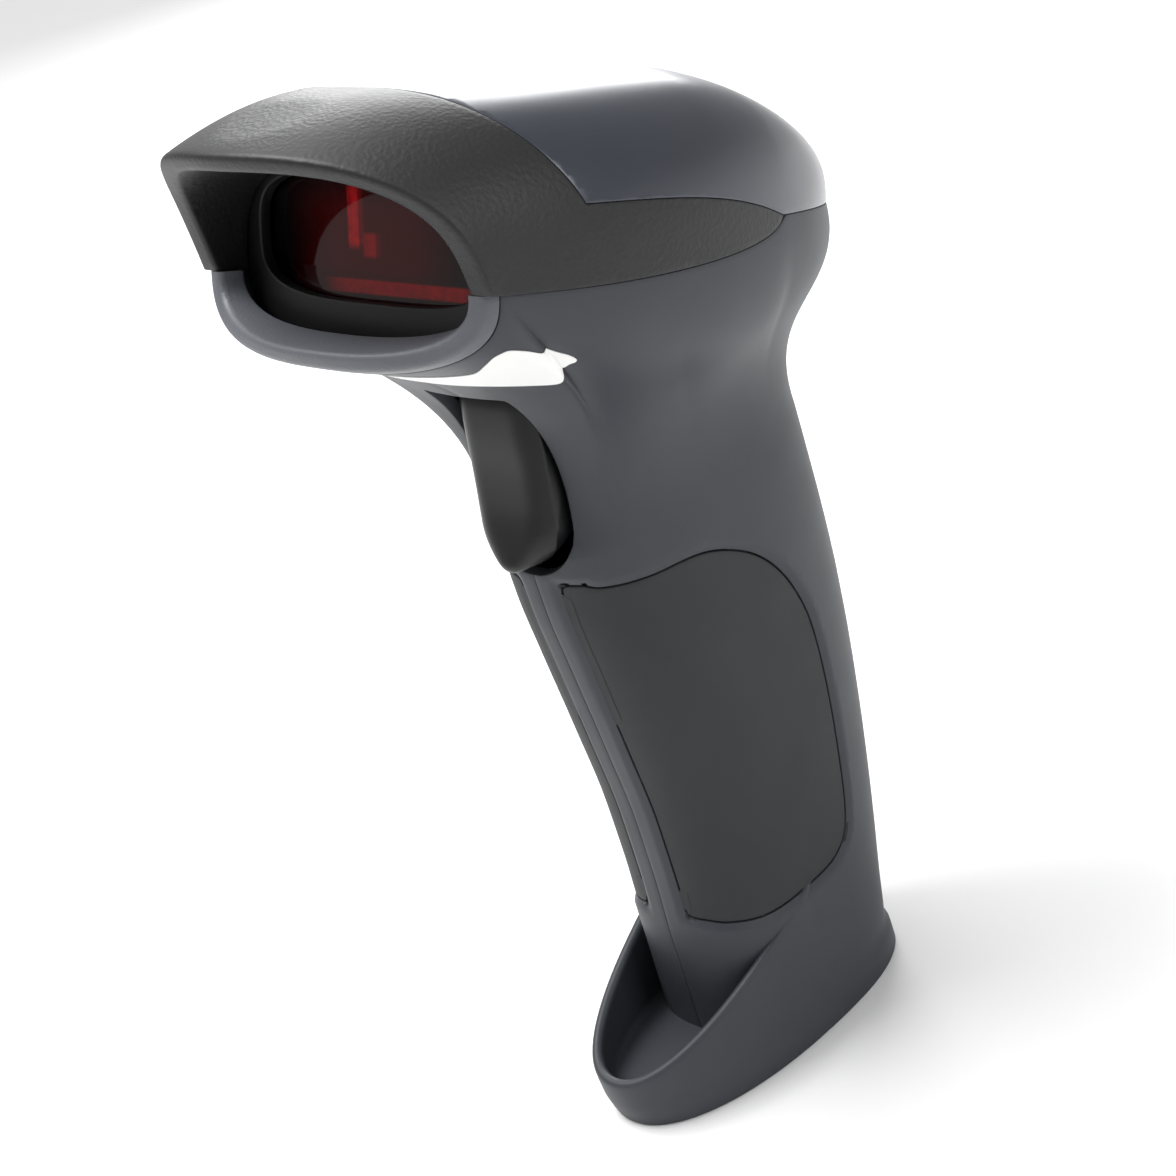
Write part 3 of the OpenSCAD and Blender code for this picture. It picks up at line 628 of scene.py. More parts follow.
@dataclass
class Body(Assembly):
    """The two halves of the lower head, handle and foot, and the grip panels set into them."""

    head: Head
    handle: Handle
    grip: GripLine
    wall: float = 2.0
    columns: int = 105
    seam_radius: float = 0.2
    ramp: float = 1.25
    ramp_depth: float = 0.55
    pocket_depth: float = 1.65
    panel_gap: float = 0.12
    panel_thickness: float = 1.0
    slot_half: float = 8.8
    slot_top: float = 121.5
    slot_low: float = 98.2
    slot_drop: float = 6.6
    well_radius: float = 2.3
    wells: tuple[tuple[float, float], ...] = ((31, 99), (31, 47))
    toe_rim: float = 9.3
    rim_slope: float = 0.41
    toe_floor: float = 4.5
    toe_wall: float = 1.9

    def rows(self) -> list[list[Vector]]:
        """The right half's surface from the foot up to the seam under the hood."""
        heights = [0, 0.5, 1.2, 2, 2.8, 3.4, 4, 4.6, 5.3, 6.2, 7.4, 8.8, *np.arange(10.2, 94.5, 1.2), 95]
        steps = [k / 46 for k in range(45, -1, -1)]
        ring = [21 * k / self.columns for k in range(self.columns + 1)]
        table = [[self.handle.point(z, math.pi * i / 21 - QUARTER) for i in ring] for z in heights]
        return table + [[self.handle.neck(i, t**1.1) for i in ring] for t in steps]

    def slot(self, p: np.ndarray) -> np.ndarray:
        """Positive outside the trigger's slot."""
        low = np.hypot(p[:, 0] / self.slot_half, np.minimum(0, p[:, 2] - self.slot_low) / self.slot_drop)
        side = (low - 1) * self.slot_half
        across = np.maximum(side, p[:, 2] - self.slot_top)
        return np.where(p[:, 1] < 6, across, 5.0)

    def grille(self, p: np.ndarray) -> np.ndarray:
        """Positive outside the sound slots at the back of the head."""
        q = self.head.local(p)
        bar = np.abs(q[:, 0] - 3 * np.round(np.clip(q[:, 0], -9, 9) / 3)) - 0.55
        across = np.maximum(bar, np.abs(q[:, 2] - 0.7) - 2.0)
        return np.where(q[:, 1] > 70, across, 5.0)

    def near_grille(self, p: np.ndarray) -> np.ndarray:
        """Positive close to the sound slots."""
        q = self.head.local(p)
        return np.where((q[:, 1] > 74) & (np.abs(q[:, 0]) < 10.6) & (np.abs(q[:, 2] - 0.7) < 3.2), 1.0, -1.0)

    def from_well(self, p: np.ndarray) -> np.ndarray:
        """How far outside the nearest screw well each point lies."""
        return np.min([np.hypot(p[:, 1] - y, p[:, 2] - z) for y, z in self.wells], axis=0) - self.well_radius

    def pocket(self, p: np.ndarray) -> np.ndarray:
        """How deep the grip's ramp and pocket are pressed into the shell."""
        d = self.grip.inside(p)
        ramp = self.ramp_depth * np.clip(d / self.ramp, 0, 1) ** 1.2
        return np.where(d > self.ramp + 0.02, self.pocket_depth, ramp)

    def half(self, wells: bool) -> Skin:
        """One half of the body, on the right-hand side.

        Args:
            wells: Whether it has the wells that the case screws are driven through.

        Returns:
            The closed skin.
        """
        skin = Skin(self.rows())
        skin.cut(self.slot)
        skin.trim(self.slot)
        for level in (0.0, 0.4, 0.85, self.ramp, self.ramp + 0.14):
            skin.cut(lambda p, level=level: self.grip.inside(p) - level)
        skin.round_edges(self.seam_radius)
        skin.refine(self.near_grille, 3)
        skin.cut(self.grille)
        skin.trim(self.grille)
        if wells:
            skin.refine(lambda p: 1.6 - self.from_well(p), 2)
            skin.cut(self.from_well)
            skin.trim(self.from_well)
        skin.thicken(self.wall, self.pocket, seam=True)
        skin.join(self.toe())
        return skin

    def toe(self) -> Skin:
        """The right half of the cupped toe, as a closed skin that grows out of the handle."""
        handle, table = self.handle, []
        floor_in, low = self.toe_floor, 2.55
        angles = [mix(-90, 8, (k / 60)) for k in range(61)]
        for degrees in angles:
            a = math.radians(degrees)

            def wall(z: float, inset: float) -> Vector:
                """A point of the toe's wall at a height, moved inwards."""
                yc, fr = 6.0, handle.toe_front(z)
                n = mix(2.7, 2.15, clamp01((yc - fr - 14) / 20))
                c, s = max(0, math.cos(a)) ** (2 / n), signed_power(math.sin(a), 2 / n)
                side = handle.side(z) + (0.03 if a <= 0 else 0.03 - 1.2 * ease(degrees / 8))
                return Vector(((side - inset) * c, yc + s * ((yc - fr - inset) if s < 0 else 30.0), z))

            top = self.toe_rim + self.rim_slope * (wall(12, 0).y + 30.4)
            thick = self.toe_wall
            path = [wall(0, 0.25), wall(0.12, 0.07), wall(0.3, 0.0)]
            path += [wall(mix(0.3, top - 1.0, k / 14), 0) for k in range(1, 15)]
            path += [wall(top - 1.0 + math.sin(q) * 0.98, 0.95 - 0.95 * math.cos(q)) for q in
                     [QUARTER * k / 5 for k in range(1, 6)]]
            path += [wall(top - 1.0 + math.cos(q) * 0.98, 0.95 + (thick - 0.95) * math.sin(q)) for q in
                     [QUARTER * k / 5 for k in range(1, 6)]]
            path += [wall(mix(top - 1.0, floor_in + 1.2, k / 8), thick) for k in range(1, 9)]
            path += [wall(floor_in + 1.2 - 1.2 * math.sin(q), thick + 1.2 - 1.2 * math.cos(q)) for q in
                     [QUARTER * k / 4 for k in range(1, 5)]]
            end = path[-1]
            path += [Vector((end.x * (1 - k / 6), end.y, end.z)) for k in range(1, 7)]
            under = wall(low, 1.7)
            path += [Vector((0, end.y, low)), Vector((end.x / 2, mix(end.y, under.y, 0.5), low)), under]
            path += [wall(0.1, 1.7), wall(0.0, 1.6)]
            table.append(path)
        table = [[row[k] for row in table] for k in range(len(table[0]))]
        table.append(table[0])
        skin = Skin(table, closed=True)
        skin.close_ends()
        return skin

    def panel(self) -> Skin:
        """The right-hand grip panel."""
        heights = list(np.arange(20.4, 95, 1.0))
        ring = [21 * k / self.columns for k in range(self.columns + 1)]
        skin = Skin([[self.handle.point(z, math.pi * i / 21 - QUARTER) for i in ring] for z in heights])
        edge = self.ramp + 0.14 + self.panel_gap
        skin.cut(lambda p: self.grip.inside(p) - edge)
        skin.trim(lambda p: self.grip.inside(p) - edge)
        skin.bm.normal_update()
        for vert, place in [(v, v.co - v.normal * self.ramp_depth) for v in skin.bm.verts]:
            vert.co = place
        skin.round_edges(0.3)
        skin.thicken(self.panel_thickness)
        return skin

    def build(self, shell: "Finish", rubber: "Finish") -> None:
        """Makes the halves and the panels.

        Args:
            shell: The moulding's finish.
            rubber: The panels' finish.
        """
        self.piece("case_half_right", self.half(False).bm, shell, ["shell_right"])
        self.piece("case_half_left", self.half(True).mirrored().bm, shell, ["shell_left"])
        self.piece("grip_panel_right", self.panel().bm, rubber, ["grip_right"])
        self.piece("grip_panel_left", self.panel().mirrored().bm, rubber, ["grip_left"])


@dataclass
class UpperCase(Assembly):
    """The hood round the mouth with its wings, the cover behind it, and the lip below."""

    head: Head
    columns: int = 160
    hood_wall: float = 1.3
    cover_wall: float = 2.0
    edge_radius: float = 0.22
    drop: float = 0.8
    drops: int = 4
    tip_reach: float = 2.5
    tip_merge: float = 0.4

    def hood_column(self, a: float, low: float) -> list[Vector]:
        """The hood's skin from inside the mouth, round the rim and back to the wing's tail.

        Args:
            a: The angle up from the right-hand side.
            low: How far below the side this column lies.

        Returns:
            Points in the head's frame.
        """
        head = self.head
        yq = min(8.0, head.cover_front(a))
        q = head.dome(yq, a)
        slope = (head.dome(yq + 0.5, a) - q) / 0.5
        out, into = head.rim_out(a), head.rim_in(a)
        pull = q - slope * (yq - out.y) / 2
        c, s = signed_power(math.cos(a), 2 / head.mouth_square), abs(math.sin(a)) ** (2 / head.mouth_square)
        half, depth, rise = head.throat
        throat = Vector((half * c, depth, rise * s))
        path = [into.lerp(throat, 1 - k / 7) for k in range(6)]
        path += corner(throat, into, out, 0.9, 5)
        path += corner(into, out, bezier((out, pull, q), 0.1), 1.3, 6)
        start = 0.065
        path += [bezier((out, pull, q), mix(start, 1, (k / 20) ** 1.1)) for k in range(1, 20)]
        path += [head.dome(mix(yq, head.tail + 1.2, k / 52), a) for k in range(53)]
        return [Vector((p.x, p.y, p.z - low)) for p in path]

    def hood(self) -> Skin:
        """The hood, with the wing that runs back along each side."""
        head = self.head
        columns = [self.hood_column(0, self.drop * k) for k in range(self.drops, 0, -1)]
        columns += [self.hood_column(math.pi * k / self.columns, 0) for k in range(self.columns + 1)]
        columns += [self.hood_column(math.pi, self.drop * k) for k in range(1, self.drops + 1)]
        skin = Skin([[head.place(c[k]) for c in reversed(columns)] for k in range(len(columns[0]))])
        skin.bm.normal_update()

        def front(p: np.ndarray) -> np.ndarray:
            """Positive in front of the cover."""
            return head.front_seam(head.local(p))

        def side(p: np.ndarray) -> np.ndarray:
            """Positive below the cover's side edge."""
            q = head.local(p)
            return np.where(q[:, 1] > 2, head.wing_top(q[:, 1]) - q[:, 2], 5.0)

        def low(p: np.ndarray) -> np.ndarray:
            """Positive above the lower edge."""
            q = head.local(p)
            return q[:, 2] - head.wing_low(q[:, 1])

        for line in (front, side, low):
            skin.cut(line)
        skin.trim(lambda p: np.minimum(low(p), np.maximum(front(p), side(p))))
        skin.round_edges(self.edge_radius)
        skin.thicken(self.hood_wall)
        return skin

    def cover(self) -> Skin:
        """The top cover."""
        head = self.head
        angles = [math.pi * (1 - k / self.columns) for k in range(self.columns + 1)]
        depths = [2.2 + (head.length - 2.2) * math.sin(QUARTER * k / 104) for k in range(105)]
        skin = Skin([[head.place(head.dome(y, a)) for a in angles] for y in depths])
        tip = head.place(Vector((0, head.length, head.seam)))
        crowded = [v for v in skin.bm.verts if (v.co - tip).length < self.tip_reach]
        bmesh.ops.remove_doubles(skin.bm, verts=crowded, dist=self.tip_merge)

        def front(p: np.ndarray) -> np.ndarray:
            """Positive behind the cover's front edge."""
            return -head.front_seam(head.local(p))

        def side(p: np.ndarray) -> np.ndarray:
            """Positive above the cover's side edge."""
            q = head.local(p)
            return q[:, 2] - head.wing_top(q[:, 1])

        skin.cut(front)
        skin.cut(side)
        skin.trim(lambda p: np.minimum(front(p), np.where(head.local(p)[:, 1] < head.tail, side(p), 1.0)))
        skin.round_edges(self.edge_radius)
        skin.thicken(self.cover_wall)
        return skin

    def lip_section(self, f: float) -> list[Vector]:
        """The lip's closed section at angle f round the mouth, rounded at its edges."""
        head, turned = self.head, f > QUARTER
        f = math.pi - f if turned else f

        def at(a: float, h: float, n: float, y: float, bow: float, lift: float = 0.0) -> Vector:
            """A point of the section."""
            x = a * max(0, math.cos(f)) ** (2 / n)
            s = max(0, math.sin(f)) ** (2 / n)
            return Vector((-x if turned else x, y + lift * s - bow * (1 - (x / a) ** 2), -h * s))

        d = head.lip_depth
        sharp = [
            (at(30.25, d + 0.65, 2.7, 1.9, 4.5), 0.15), (at(29.3, d + 0.2, 2.7, -0.1, 4.5), 0.9),
            (at(26.6, 8.5, 2.6, -0.55, 5.6, 0.6), 1.1), (at(25.6, 6.6, 2.6, 3.2, 3, 0.3), 0.5),
            (at(27.9, d - 1.6, 2.7, 3.8, 4.5), 0.2), (at(28.1, d - 1.5, 2.7, 2, 4.5), 0.2),
        ]
        path = []
        for k, (p, radius) in enumerate(sharp):
            before, after = sharp[k - 1][0], sharp[(k + 1) % len(sharp)][0]
            path += corner(before, p, after, radius, 5)
        return path + path[:1]

    def lip(self) -> Skin:
        """The grained band round the lower half of the mouth."""
        sections = [self.lip_section(math.pi * k / 110) for k in range(111)]
        rows = [[self.head.place(s[k]) for s in sections] for k in range(len(sections[0]))]
        skin = Skin(rows, closed=True)
        skin.close_ends()
        return skin

    def build(self, hood: "Finish", cover: "Finish", lip: "Finish") -> None:
        """Makes the three mouldings, each in its finish."""
        self.piece("hood_moulding", self.hood().bm, hood, ["hood"])
        self.piece("top_cover_moulding", self.cover().bm, cover, ["top_cover"])
        self.piece("mouth_lip_band", self.lip().bm, lip, ["mouth_lip"])


@dataclass
class WindowUnit(Assembly):
    """The scan window with its bezel, set back in the mouth."""

    head: Head
    segments: int = 168

    def outline(self, half: float, rise: float, middle: float, square: float) -> Callable[[float], tuple]:
        """A rounded window outline as a function of the angle round it."""

        def at(f: float) -> tuple[float, float]:
            """The point at an angle."""
            e = 2 / square
            return half * signed_power(math.cos(f), e), middle + rise * signed_power(math.sin(f), e)

        return at

    def plate(
        self, outlines: Sequence[Callable[[float], tuple]], near: float, far: float, bevel: float
    ) -> Skin:
        """A flat plate across the head, with a hole if there is a second outline.

        Args:
            outlines: The outer outline, and the hole's.
            near: The depth of its front face.
            far: The depth of its back face.
            bevel: The rounding of its edges.

        Returns:
            The closed plate.
        """
        bm = bmesh.new()
        for outline in outlines:
            ring = bmesh.ops.create_circle(bm, segments=self.segments, radius=1, cap_ends=len(outlines) == 1)
            for vert in ring["verts"]:
                x, z = outline(math.atan2(vert.co.y, vert.co.x))
                vert.co = (x, near, z)
        if len(outlines) > 1:
            bmesh.ops.bridge_loops(bm, edges=bm.edges)
        front = set(bm.verts)
        bmesh.ops.solidify(bm, geom=list(bm.faces), thickness=far - near)
        for vert in bm.verts:
            vert.co.y = near if vert in front else far
        bmesh.ops.recalc_face_normals(bm, faces=bm.faces)
        sharp = [e for e in bm.edges if e.calc_face_angle(0) > 1.0]
        ease_edges(bm, sharp, bevel, 3, True)
        for vert in bm.verts:
            vert.co = self.head.place(vert.co)
        return Skin.around(bm)

    def build(self, bezel: "Finish", glass: "Finish") -> None:
        """Makes the bezel and the window in their finishes."""

        def around(f: float) -> tuple[float, float]:
            """The bezel's outer outline, low below the mouth's corners and high above."""
            c, s = signed_power(math.cos(f), 2 / 3), signed_power(math.sin(f), 2 / 3)
            return (28.0 * c, 9.1 * s) if s < 0 else (mix(28.0, 29.2, clamp01(s * 3)) * c, 17.2 * s)

        hole = self.outline(24.7, 8.7, 5.5, 3.4)
        frame_plate = self.plate((around, hole), 5.65, 7.55, 0.35)
        self.piece("window_surround", frame_plate.bm, bezel, ["window_bezel"])
        pane = self.outline(26, 9.9, 5.2, 3.4)
        self.piece("scan_window", self.plate((pane,), 7.62, 9.08, 0.12).bm, glass, ["window"])


@dataclass
class TriggerUnit(Assembly):
    """The trigger, crowned across its front."""

    half_width: float = 8.0
    crown_radius: float = 9.8
    lean: float = math.radians(10)
    round_from: float = 99.9
    round_depth: float = 6.08
    edge_radius: float = 0.3
    columns: int = 22
    side: tuple[tuple[float, float, float], ...] = (
        (-3.2, 119.4, 2), (-8.2, 120.6, 2), (-10.4, 119, 1.6), (-11.4, 114, 2.4), (-12.1, 108, 2.4),
        (-13.4, 102, 2.4), (-15.4, 97, 2), (-16.6, 94.6, 0.9), (-15.6, 93.6, 0.7), (-12.6, 94.4, 1.4),
        (-9.8, 97.2, 1.4), (-7.4, 99, 1.2), (-1.9, 99.4, 0.6), (-1.9, 111, 1.2), (-1.2, 113.6, 1.2),
        (1.2, 113.4, 1), (3.4, 114.2, 1), (4.5, 116.5, 1.2), (3.4, 118.8, 1.2), (1.2, 119.6, 1),
    )

    def front_limit(self, x: float, z: float) -> float:
        """The depth of the crowned front at a place across and up."""
        bow = math.sqrt(self.crown_radius**2 - x * x) / math.cos(self.lean)
        return -2.5 - (119 - z) * math.tan(self.lean) - bow

    def build(self, finish: "Finish") -> None:
        """Makes the trigger in its finish."""
        path = []
        for k, (y, z, radius) in enumerate(self.side):
            before, after = self.side[k - 1], self.side[(k + 1) % len(self.side)]
            ends = [Vector((0, q[0], q[1])) for q in (before, (y, z), after)]
            path += corner(ends[0], ends[1], ends[2], radius, 4)
        path += path[:1]
        across = [mix(-self.half_width, self.half_width, k / self.columns) for k in range(self.columns + 1)]
        table = []
        for p in path:
            row = []
            for x in across:
                limit, soft = self.front_limit(x, p.z), 1.2
                h = clamp01(0.5 + 0.5 * (p.y - limit) / soft)
                y = mix(limit, p.y, h) + soft * h * (1 - h)
                fall = clamp01((self.round_from - p.z) / self.round_depth)
                row.append(Vector((x * math.sqrt(1 - 0.98 * fall**2), y, p.z)))
            table.append(row)
        skin = Skin(table, closed=True)
        skin.close_ends()
        ends = [f for f in skin.bm.faces if abs(f.normal.x) > 0.999 and len(f.verts) > 8]
        edges = list({e for f in ends for e in f.edges})
        ease_edges(skin.bm, edges, self.edge_radius, 3, False)
        self.piece("trigger_lever", skin.bm, finish, ["trigger"], "trigger")


@dataclass
class Sticker(Assembly):
    """The blank white label under the mouth."""

    handle: Handle
    front: Profile = Profile(
        (0, 0.16), (2.3, 0.14), (3.3, 0.08), (3.9, 0.06), (4.4, 0.07), (4.9, 0.12), (5.8, 0.225), (6.3, 0.25),
        (6.6, 0.256), (6.8, 0.268), (6.85, 0.278),
    )
    rear: Profile = Profile(
        (0, 0.34), (3, 0.35), (5, 0.365), (6, 0.35), (6.5, 0.31), (6.75, 0.293), (6.85, 0.281)
    )

    def build(self, finish: "Finish") -> None:
        """Makes the label in its finish."""
        half = [6.85 * math.sin(QUARTER * k / 60) for k in range(61)]
        rows = []
        for n in range(20, -1, -1):
            right = [self.handle.neck(i, mix(self.front(i), self.rear(i), n / 20)) for i in half]
            rows.append([Vector((-p.x, p.y, p.z)) for p in right[:0:-1]] + right)
        skin = Skin(rows)
        skin.bm.normal_update()
        for vert, place in [(v, v.co + v.normal * 0.115) for v in skin.bm.verts]:
            vert.co = place
        skin.thicken(0.1)
        self.piece("blank_label", skin.bm, finish, ["label"])


@dataclass
class Inside(Assembly):
    """The pieces that keep the frame's own shape, with their edges eased."""

    sharp_angle: float = math.radians(40)
    flat_angle: float = math.radians(1)

    def carry(self, node: str, finish: "Finish", bevel: float) -> None:
        """Dresses a node of the frame, as a merged copy with eased edges.

        Args:
            node: The node's name.
            finish: What it is made of.
            bevel: The easing of its sharp edges, 0 for none.
        """
        bm = bmesh.new()
        bm.from_mesh(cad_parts[node].data)
        bmesh.ops.scale(bm, vec=(1 / MM,) * 3, verts=bm.verts)
        bmesh.ops.remove_doubles(bm, verts=bm.verts, dist=1e-4)
        bmesh.ops.dissolve_limit(bm, angle_limit=self.flat_angle, verts=bm.verts, edges=bm.edges)
        if bevel:
            sharp = [e for e in bm.edges if e.is_manifold and e.calc_face_angle(0) > self.sharp_angle]
            ease_edges(bm, sharp, bevel, 2, True)
        self.piece(f"{node}_fine", bm, finish, [node], MOVING.get(node, "case"))


# ---------------------------------------------------------------- finishes


class Sock:
    """A node's output that takes part in sums."""

    def __init__(self, graph: "Graph", socket: bpy.types.NodeSocket) -> None:
        """Keeps the graph and the socket."""
        self.graph, self.socket = graph, socket

    def _sum(self, operation: str, a: "Sock | float", b: "Sock | float") -> "Sock":
        """Adds one Math node for a sum on two values."""
        return self.graph.node("ShaderNodeMath", {"operation": operation}, {0: a, 1: b})

    def __add__(self, other: "Sock | float") -> "Sock":
        """This plus other."""
        return self._sum("ADD", self, other)

    def __sub__(self, other: "Sock | float") -> "Sock":
        """This less other."""
        return self._sum("SUBTRACT", self, other)

    def __truediv__(self, other: "Sock | float") -> "Sock":
        """This over other."""
        return self._sum("DIVIDE", self, other)

    def __rsub__(self, other: float) -> "Sock":
        """Other less this."""
        return self._sum("SUBTRACT", other, self)

    def __mul__(self, other: "Sock | float") -> "Sock":
        """This times other."""
        return self._sum("MULTIPLY", self, other)

    def __gt__(self, other: "Sock | float") -> "Sock":
        """1 where this is more than other."""
        return self._sum("GREATER_THAN", self, other)

    def __lt__(self, other: "Sock | float") -> "Sock":
        """1 where this is less than other."""
        return self._sum("LESS_THAN", self, other)

    __radd__, __rmul__ = __add__, __mul__


class Graph:
    """A material's node tree, with one way to add a node."""

    def __init__(self, name: str) -> None:
        """Starts an empty material."""
        self.material = bpy.data.materials.new(name)
        self.material.use_nodes = True
        self.tree = self.material.node_tree
        self.tree.nodes.clear()

    def node(
        self, kind: str, settings: dict | None = None, inputs: dict | None = None, out: int | str = 0
    ) -> Sock:
        """Adds a node.

        Args:
            kind: The node's type.
            settings: Its settings.
            inputs: The values or links of its sockets.
            out: The output that the result stands for.

        Returns:
            The output, or the node's lack of one.
        """
        node = self.tree.nodes.new(kind)
        for key, value in (settings or {}).items():
            setattr(node, key, value)
        for key, value in (inputs or {}).items():
            if isinstance(value, Sock):
                self.tree.links.new(value.socket, node.inputs[key])
            else:
                node.inputs[key].default_value = value
        return Sock(self, node.outputs[out] if node.outputs else None)

    def place(self) -> Sock:
        """The place on the piece, in metres."""
        return self.node("ShaderNodeTexCoord", out="Object")

    def noise(self, size: float, detail: float = 3.0, rough: float = 0.5) -> Sock:
        """Noise with blotches of a size in millimetres."""
        inputs = {"Vector": self.place(), "Scale": 1 / (size * MM), "Detail": detail, "Roughness": rough}
        return self.node("ShaderNodeTexNoise", inputs=inputs)

    def cells(self, size: float, feature: str = "F1") -> Sock:
        """Cells of a size in millimetres, dark at their middles."""
        inputs = {"Vector": self.place(), "Scale": 1 / (size * MM), "Randomness": 1.0}
        return self.node("ShaderNodeTexVoronoi", {"feature": feature}, inputs)

    def blend(self, share: Sock, a: Colour, b: Colour) -> Sock:
        """A colour between two, by a share from 0 to 1."""
        inputs = {"Factor": share, 6: (*a, 1), 7: (*b, 1)}
        return self.node("ShaderNodeMix", {"data_type": "RGBA"}, inputs, 2)

    def bump(self, height: Sock, depth: float) -> Sock:
        """A relief of a depth in millimetres."""
        inputs = {"Height": height, "Distance": depth * MM, "Strength": 1.0}
        return self.node("ShaderNodeBump", inputs=inputs)

    def surface(self, **sockets: "Sock | float | Colour") -> bpy.types.Material:
        """Ends the tree in a surface, whose sockets are given with _ for a space."""
        inputs = {}
        for key, value in sockets.items():
            key = key.replace("_", " ").title().replace("Ior", "IOR")
            inputs[key] = (*value, 1) if isinstance(value, tuple) and len(value) == 3 else value
        shader = self.node("ShaderNodeBsdfPrincipled", inputs=inputs)
        self.node("ShaderNodeOutputMaterial", inputs={"Surface": shader})
        return self.material


class Relief(Enum):
    """The fine relief that a surface carries."""

    SPARK = "the even bloom of a spark-eroded mould"
    LEATHER = "a pebbled leather grain"
    BRUSHED = "fine straight scratches"
    WOUND = "turns of wire"


MADE: dict[str, bpy.types.Material] = {}


@dataclass(frozen=True)
class Finish:
    """A finish with an even colour, slight tone and gloss variation, and a fine relief."""

    slot: str
    name: str
    colour: Colour
    rough: float
    metal: float = 0.0
    coat: float = 0.0
    coat_rough: float = 0.25
    tone: float = 0.08
    relief: Relief = Relief.SPARK
    size: float = 0.35
    depth: float = 0.02
    # strength of the painted red light given off by a piece that is no lamp
    painted_glow: float = 0.0
    specular: float = 0.5

    def material(self) -> bpy.types.Material:
        """The finish's material, made once."""
        if self.name not in MADE:
            MADE[self.name] = self.make(Graph(self.name))
        return MADE[self.name]

    def tint(self, graph: Graph) -> "Sock | Colour":
        """The colour over the surface."""
        dark = tuple(c * (1 - self.tone) for c in self.colour)
        light = tuple(c * (1 + self.tone) for c in self.colour)
        return graph.blend(graph.noise(9.0, 4.0, 0.6), dark, light)

    def height(self, graph: Graph) -> Sock:
        """The relief's height, from 0 to 1."""
        if self.relief is Relief.LEATHER:
            pebbles = graph.cells(self.size, "SMOOTH_F1") * 1.5
            return pebbles * 0.75 + graph.noise(self.size * 0.45, 2.0) * 0.4
        if self.relief is Relief.BRUSHED:
            narrow, long = 1 / (0.2 * MM), 1 / (2.0 * MM)
            factors = {0: graph.place(), 1: (narrow, long, narrow)}
            stretch = graph.node("ShaderNodeVectorMath", {"operation": "MULTIPLY"}, factors)
            return graph.node("ShaderNodeTexNoise", inputs={"Vector": stretch, "Scale": 1.0, "Detail": 2.0})
        if self.relief is Relief.WOUND:
            wave = {"Vector": graph.place(), "Scale": 1 / (self.size * MM * 6.3), "Distortion": 0.4}
            return graph.node("ShaderNodeTexWave", {"bands_direction": "DIAGONAL"}, wave, 1)
        return graph.noise(self.size, 3.0, 0.6)

    def make(self, graph: Graph) -> bpy.types.Material:
        """Builds the material.

        Args:
            graph: The empty tree to build it in.

        Returns:
            The material.
        """
        smudge = graph.noise(14.0, 3.0, 0.55)
        sockets = dict(
            base_color=self.tint(graph),
            metallic=self.metal,
            roughness=(smudge - 0.5) * 0.14 + self.rough,
            normal=graph.bump(self.height(graph), self.depth),
            coat_weight=self.coat,
            coat_roughness=self.coat_rough,
            specular_ior_level=self.specular,
        )
        # Painted red light: emission on pieces that are no lamp, the window pane and the scan mirror
        if self.painted_glow:
            sockets |= dict(emission_color=(1.0, 0.02, 0.03), emission_strength=self.painted_glow)
        return graph.surface(**sockets)


@dataclass(frozen=True)
class RedPane(Finish):
    """Deep red plastic that passes the scanning light, with painted red light shining from it in a column, a
    block and a bar, and a faint haze.
    """

    def painted_light_shapes(self, graph: Graph) -> Sock:
        """How strongly the painted red light shines over the pane, from 0 to 1."""
        x, y, z = (
            graph.node("ShaderNodeSeparateXYZ", inputs={0: graph.place()}, out=k) / MM for k in range(3)
        )
        pitch = Head.pitch
        up = (y - Head.origin_y) * math.sin(pitch) + (z - Head.origin_z) * math.cos(pitch)

        def band(value: Sock, middle: float, half: float, soft: float) -> Sock:
            """A soft-edged band about a middle."""
            away = graph.node("ShaderNodeMath", {"operation": "ABSOLUTE"}, {0: value - middle})
            inputs = {"Value": away, "From Min": half + soft, "From Max": half}
            return graph.node("ShaderNodeMapRange", {"interpolation_type": "SMOOTHSTEP"}, inputs)

        # Painted light shapes on the pane: a column, a block and a bar, mottled, over a faint haze
        column = band(x, -6.0, 0.9, 0.5) * band(up, 8.0, 3.2, 1.6)
        block = band(x, -2.6, 1.0, 0.6) * band(up, 4.2, 1.2, 0.7)
        bar = band(up, -1.4, 0.75, 0.35) * band(x, 4.0, 12.0, 6.0)
        haze = band(x, -2.0, 6.0, 14.0) * band(up, 5.0, 3.0, 6.0)
        mottle = graph.noise(1.6, 3.0, 0.7) * 1.3
        return column * 0.75 * mottle + block * 0.28 + bar * 0.38 * mottle + haze * 0.07

    def make(self, graph: Graph) -> bpy.types.Material:
        """Builds the material, see-through and nearly smooth."""
        # The pane's painted red light, in the painted light shapes above
        painted_glow = {}
        if self.painted_glow:
            lit = graph.blend(self.painted_light_shapes(graph), (0.0, 0.0, 0.0), (1.0, 0.012, 0.02))
            painted_glow = dict(emission_color=lit, emission_strength=self.painted_glow)
        return graph.surface(
            base_color=self.colour,
            roughness=graph.noise(16.0) * 0.03 + self.rough,
            transmission_weight=1.0,
            ior=1.4,
            specular_ior_level=self.specular,
            coat_weight=self.coat,
            coat_roughness=0.04,
            normal=graph.bump(graph.noise(6.0), 0.004),
            **painted_glow,
        )


@dataclass(frozen=True)
class BoardLacquer(Finish):
    """Green solder lacquer over copper tracks."""

    def tint(self, graph: Graph) -> Sock:
        """Tracks a little lighter than the ground between them."""
        tracks = graph.node(
            "ShaderNodeTexBrick", {"offset": 0.37},
            {
                "Vector": graph.place(), "Scale": 1 / MM, "Mortar Size": 0.09, "Brick Width": 2.3,
                "Row Height": 0.7, "Color1": (0.010, 0.085, 0.035, 1), "Color2": (0.014, 0.11, 0.045, 1),
                "Mortar": (0.035, 0.2, 0.085, 1),
            },
        )
        return tracks


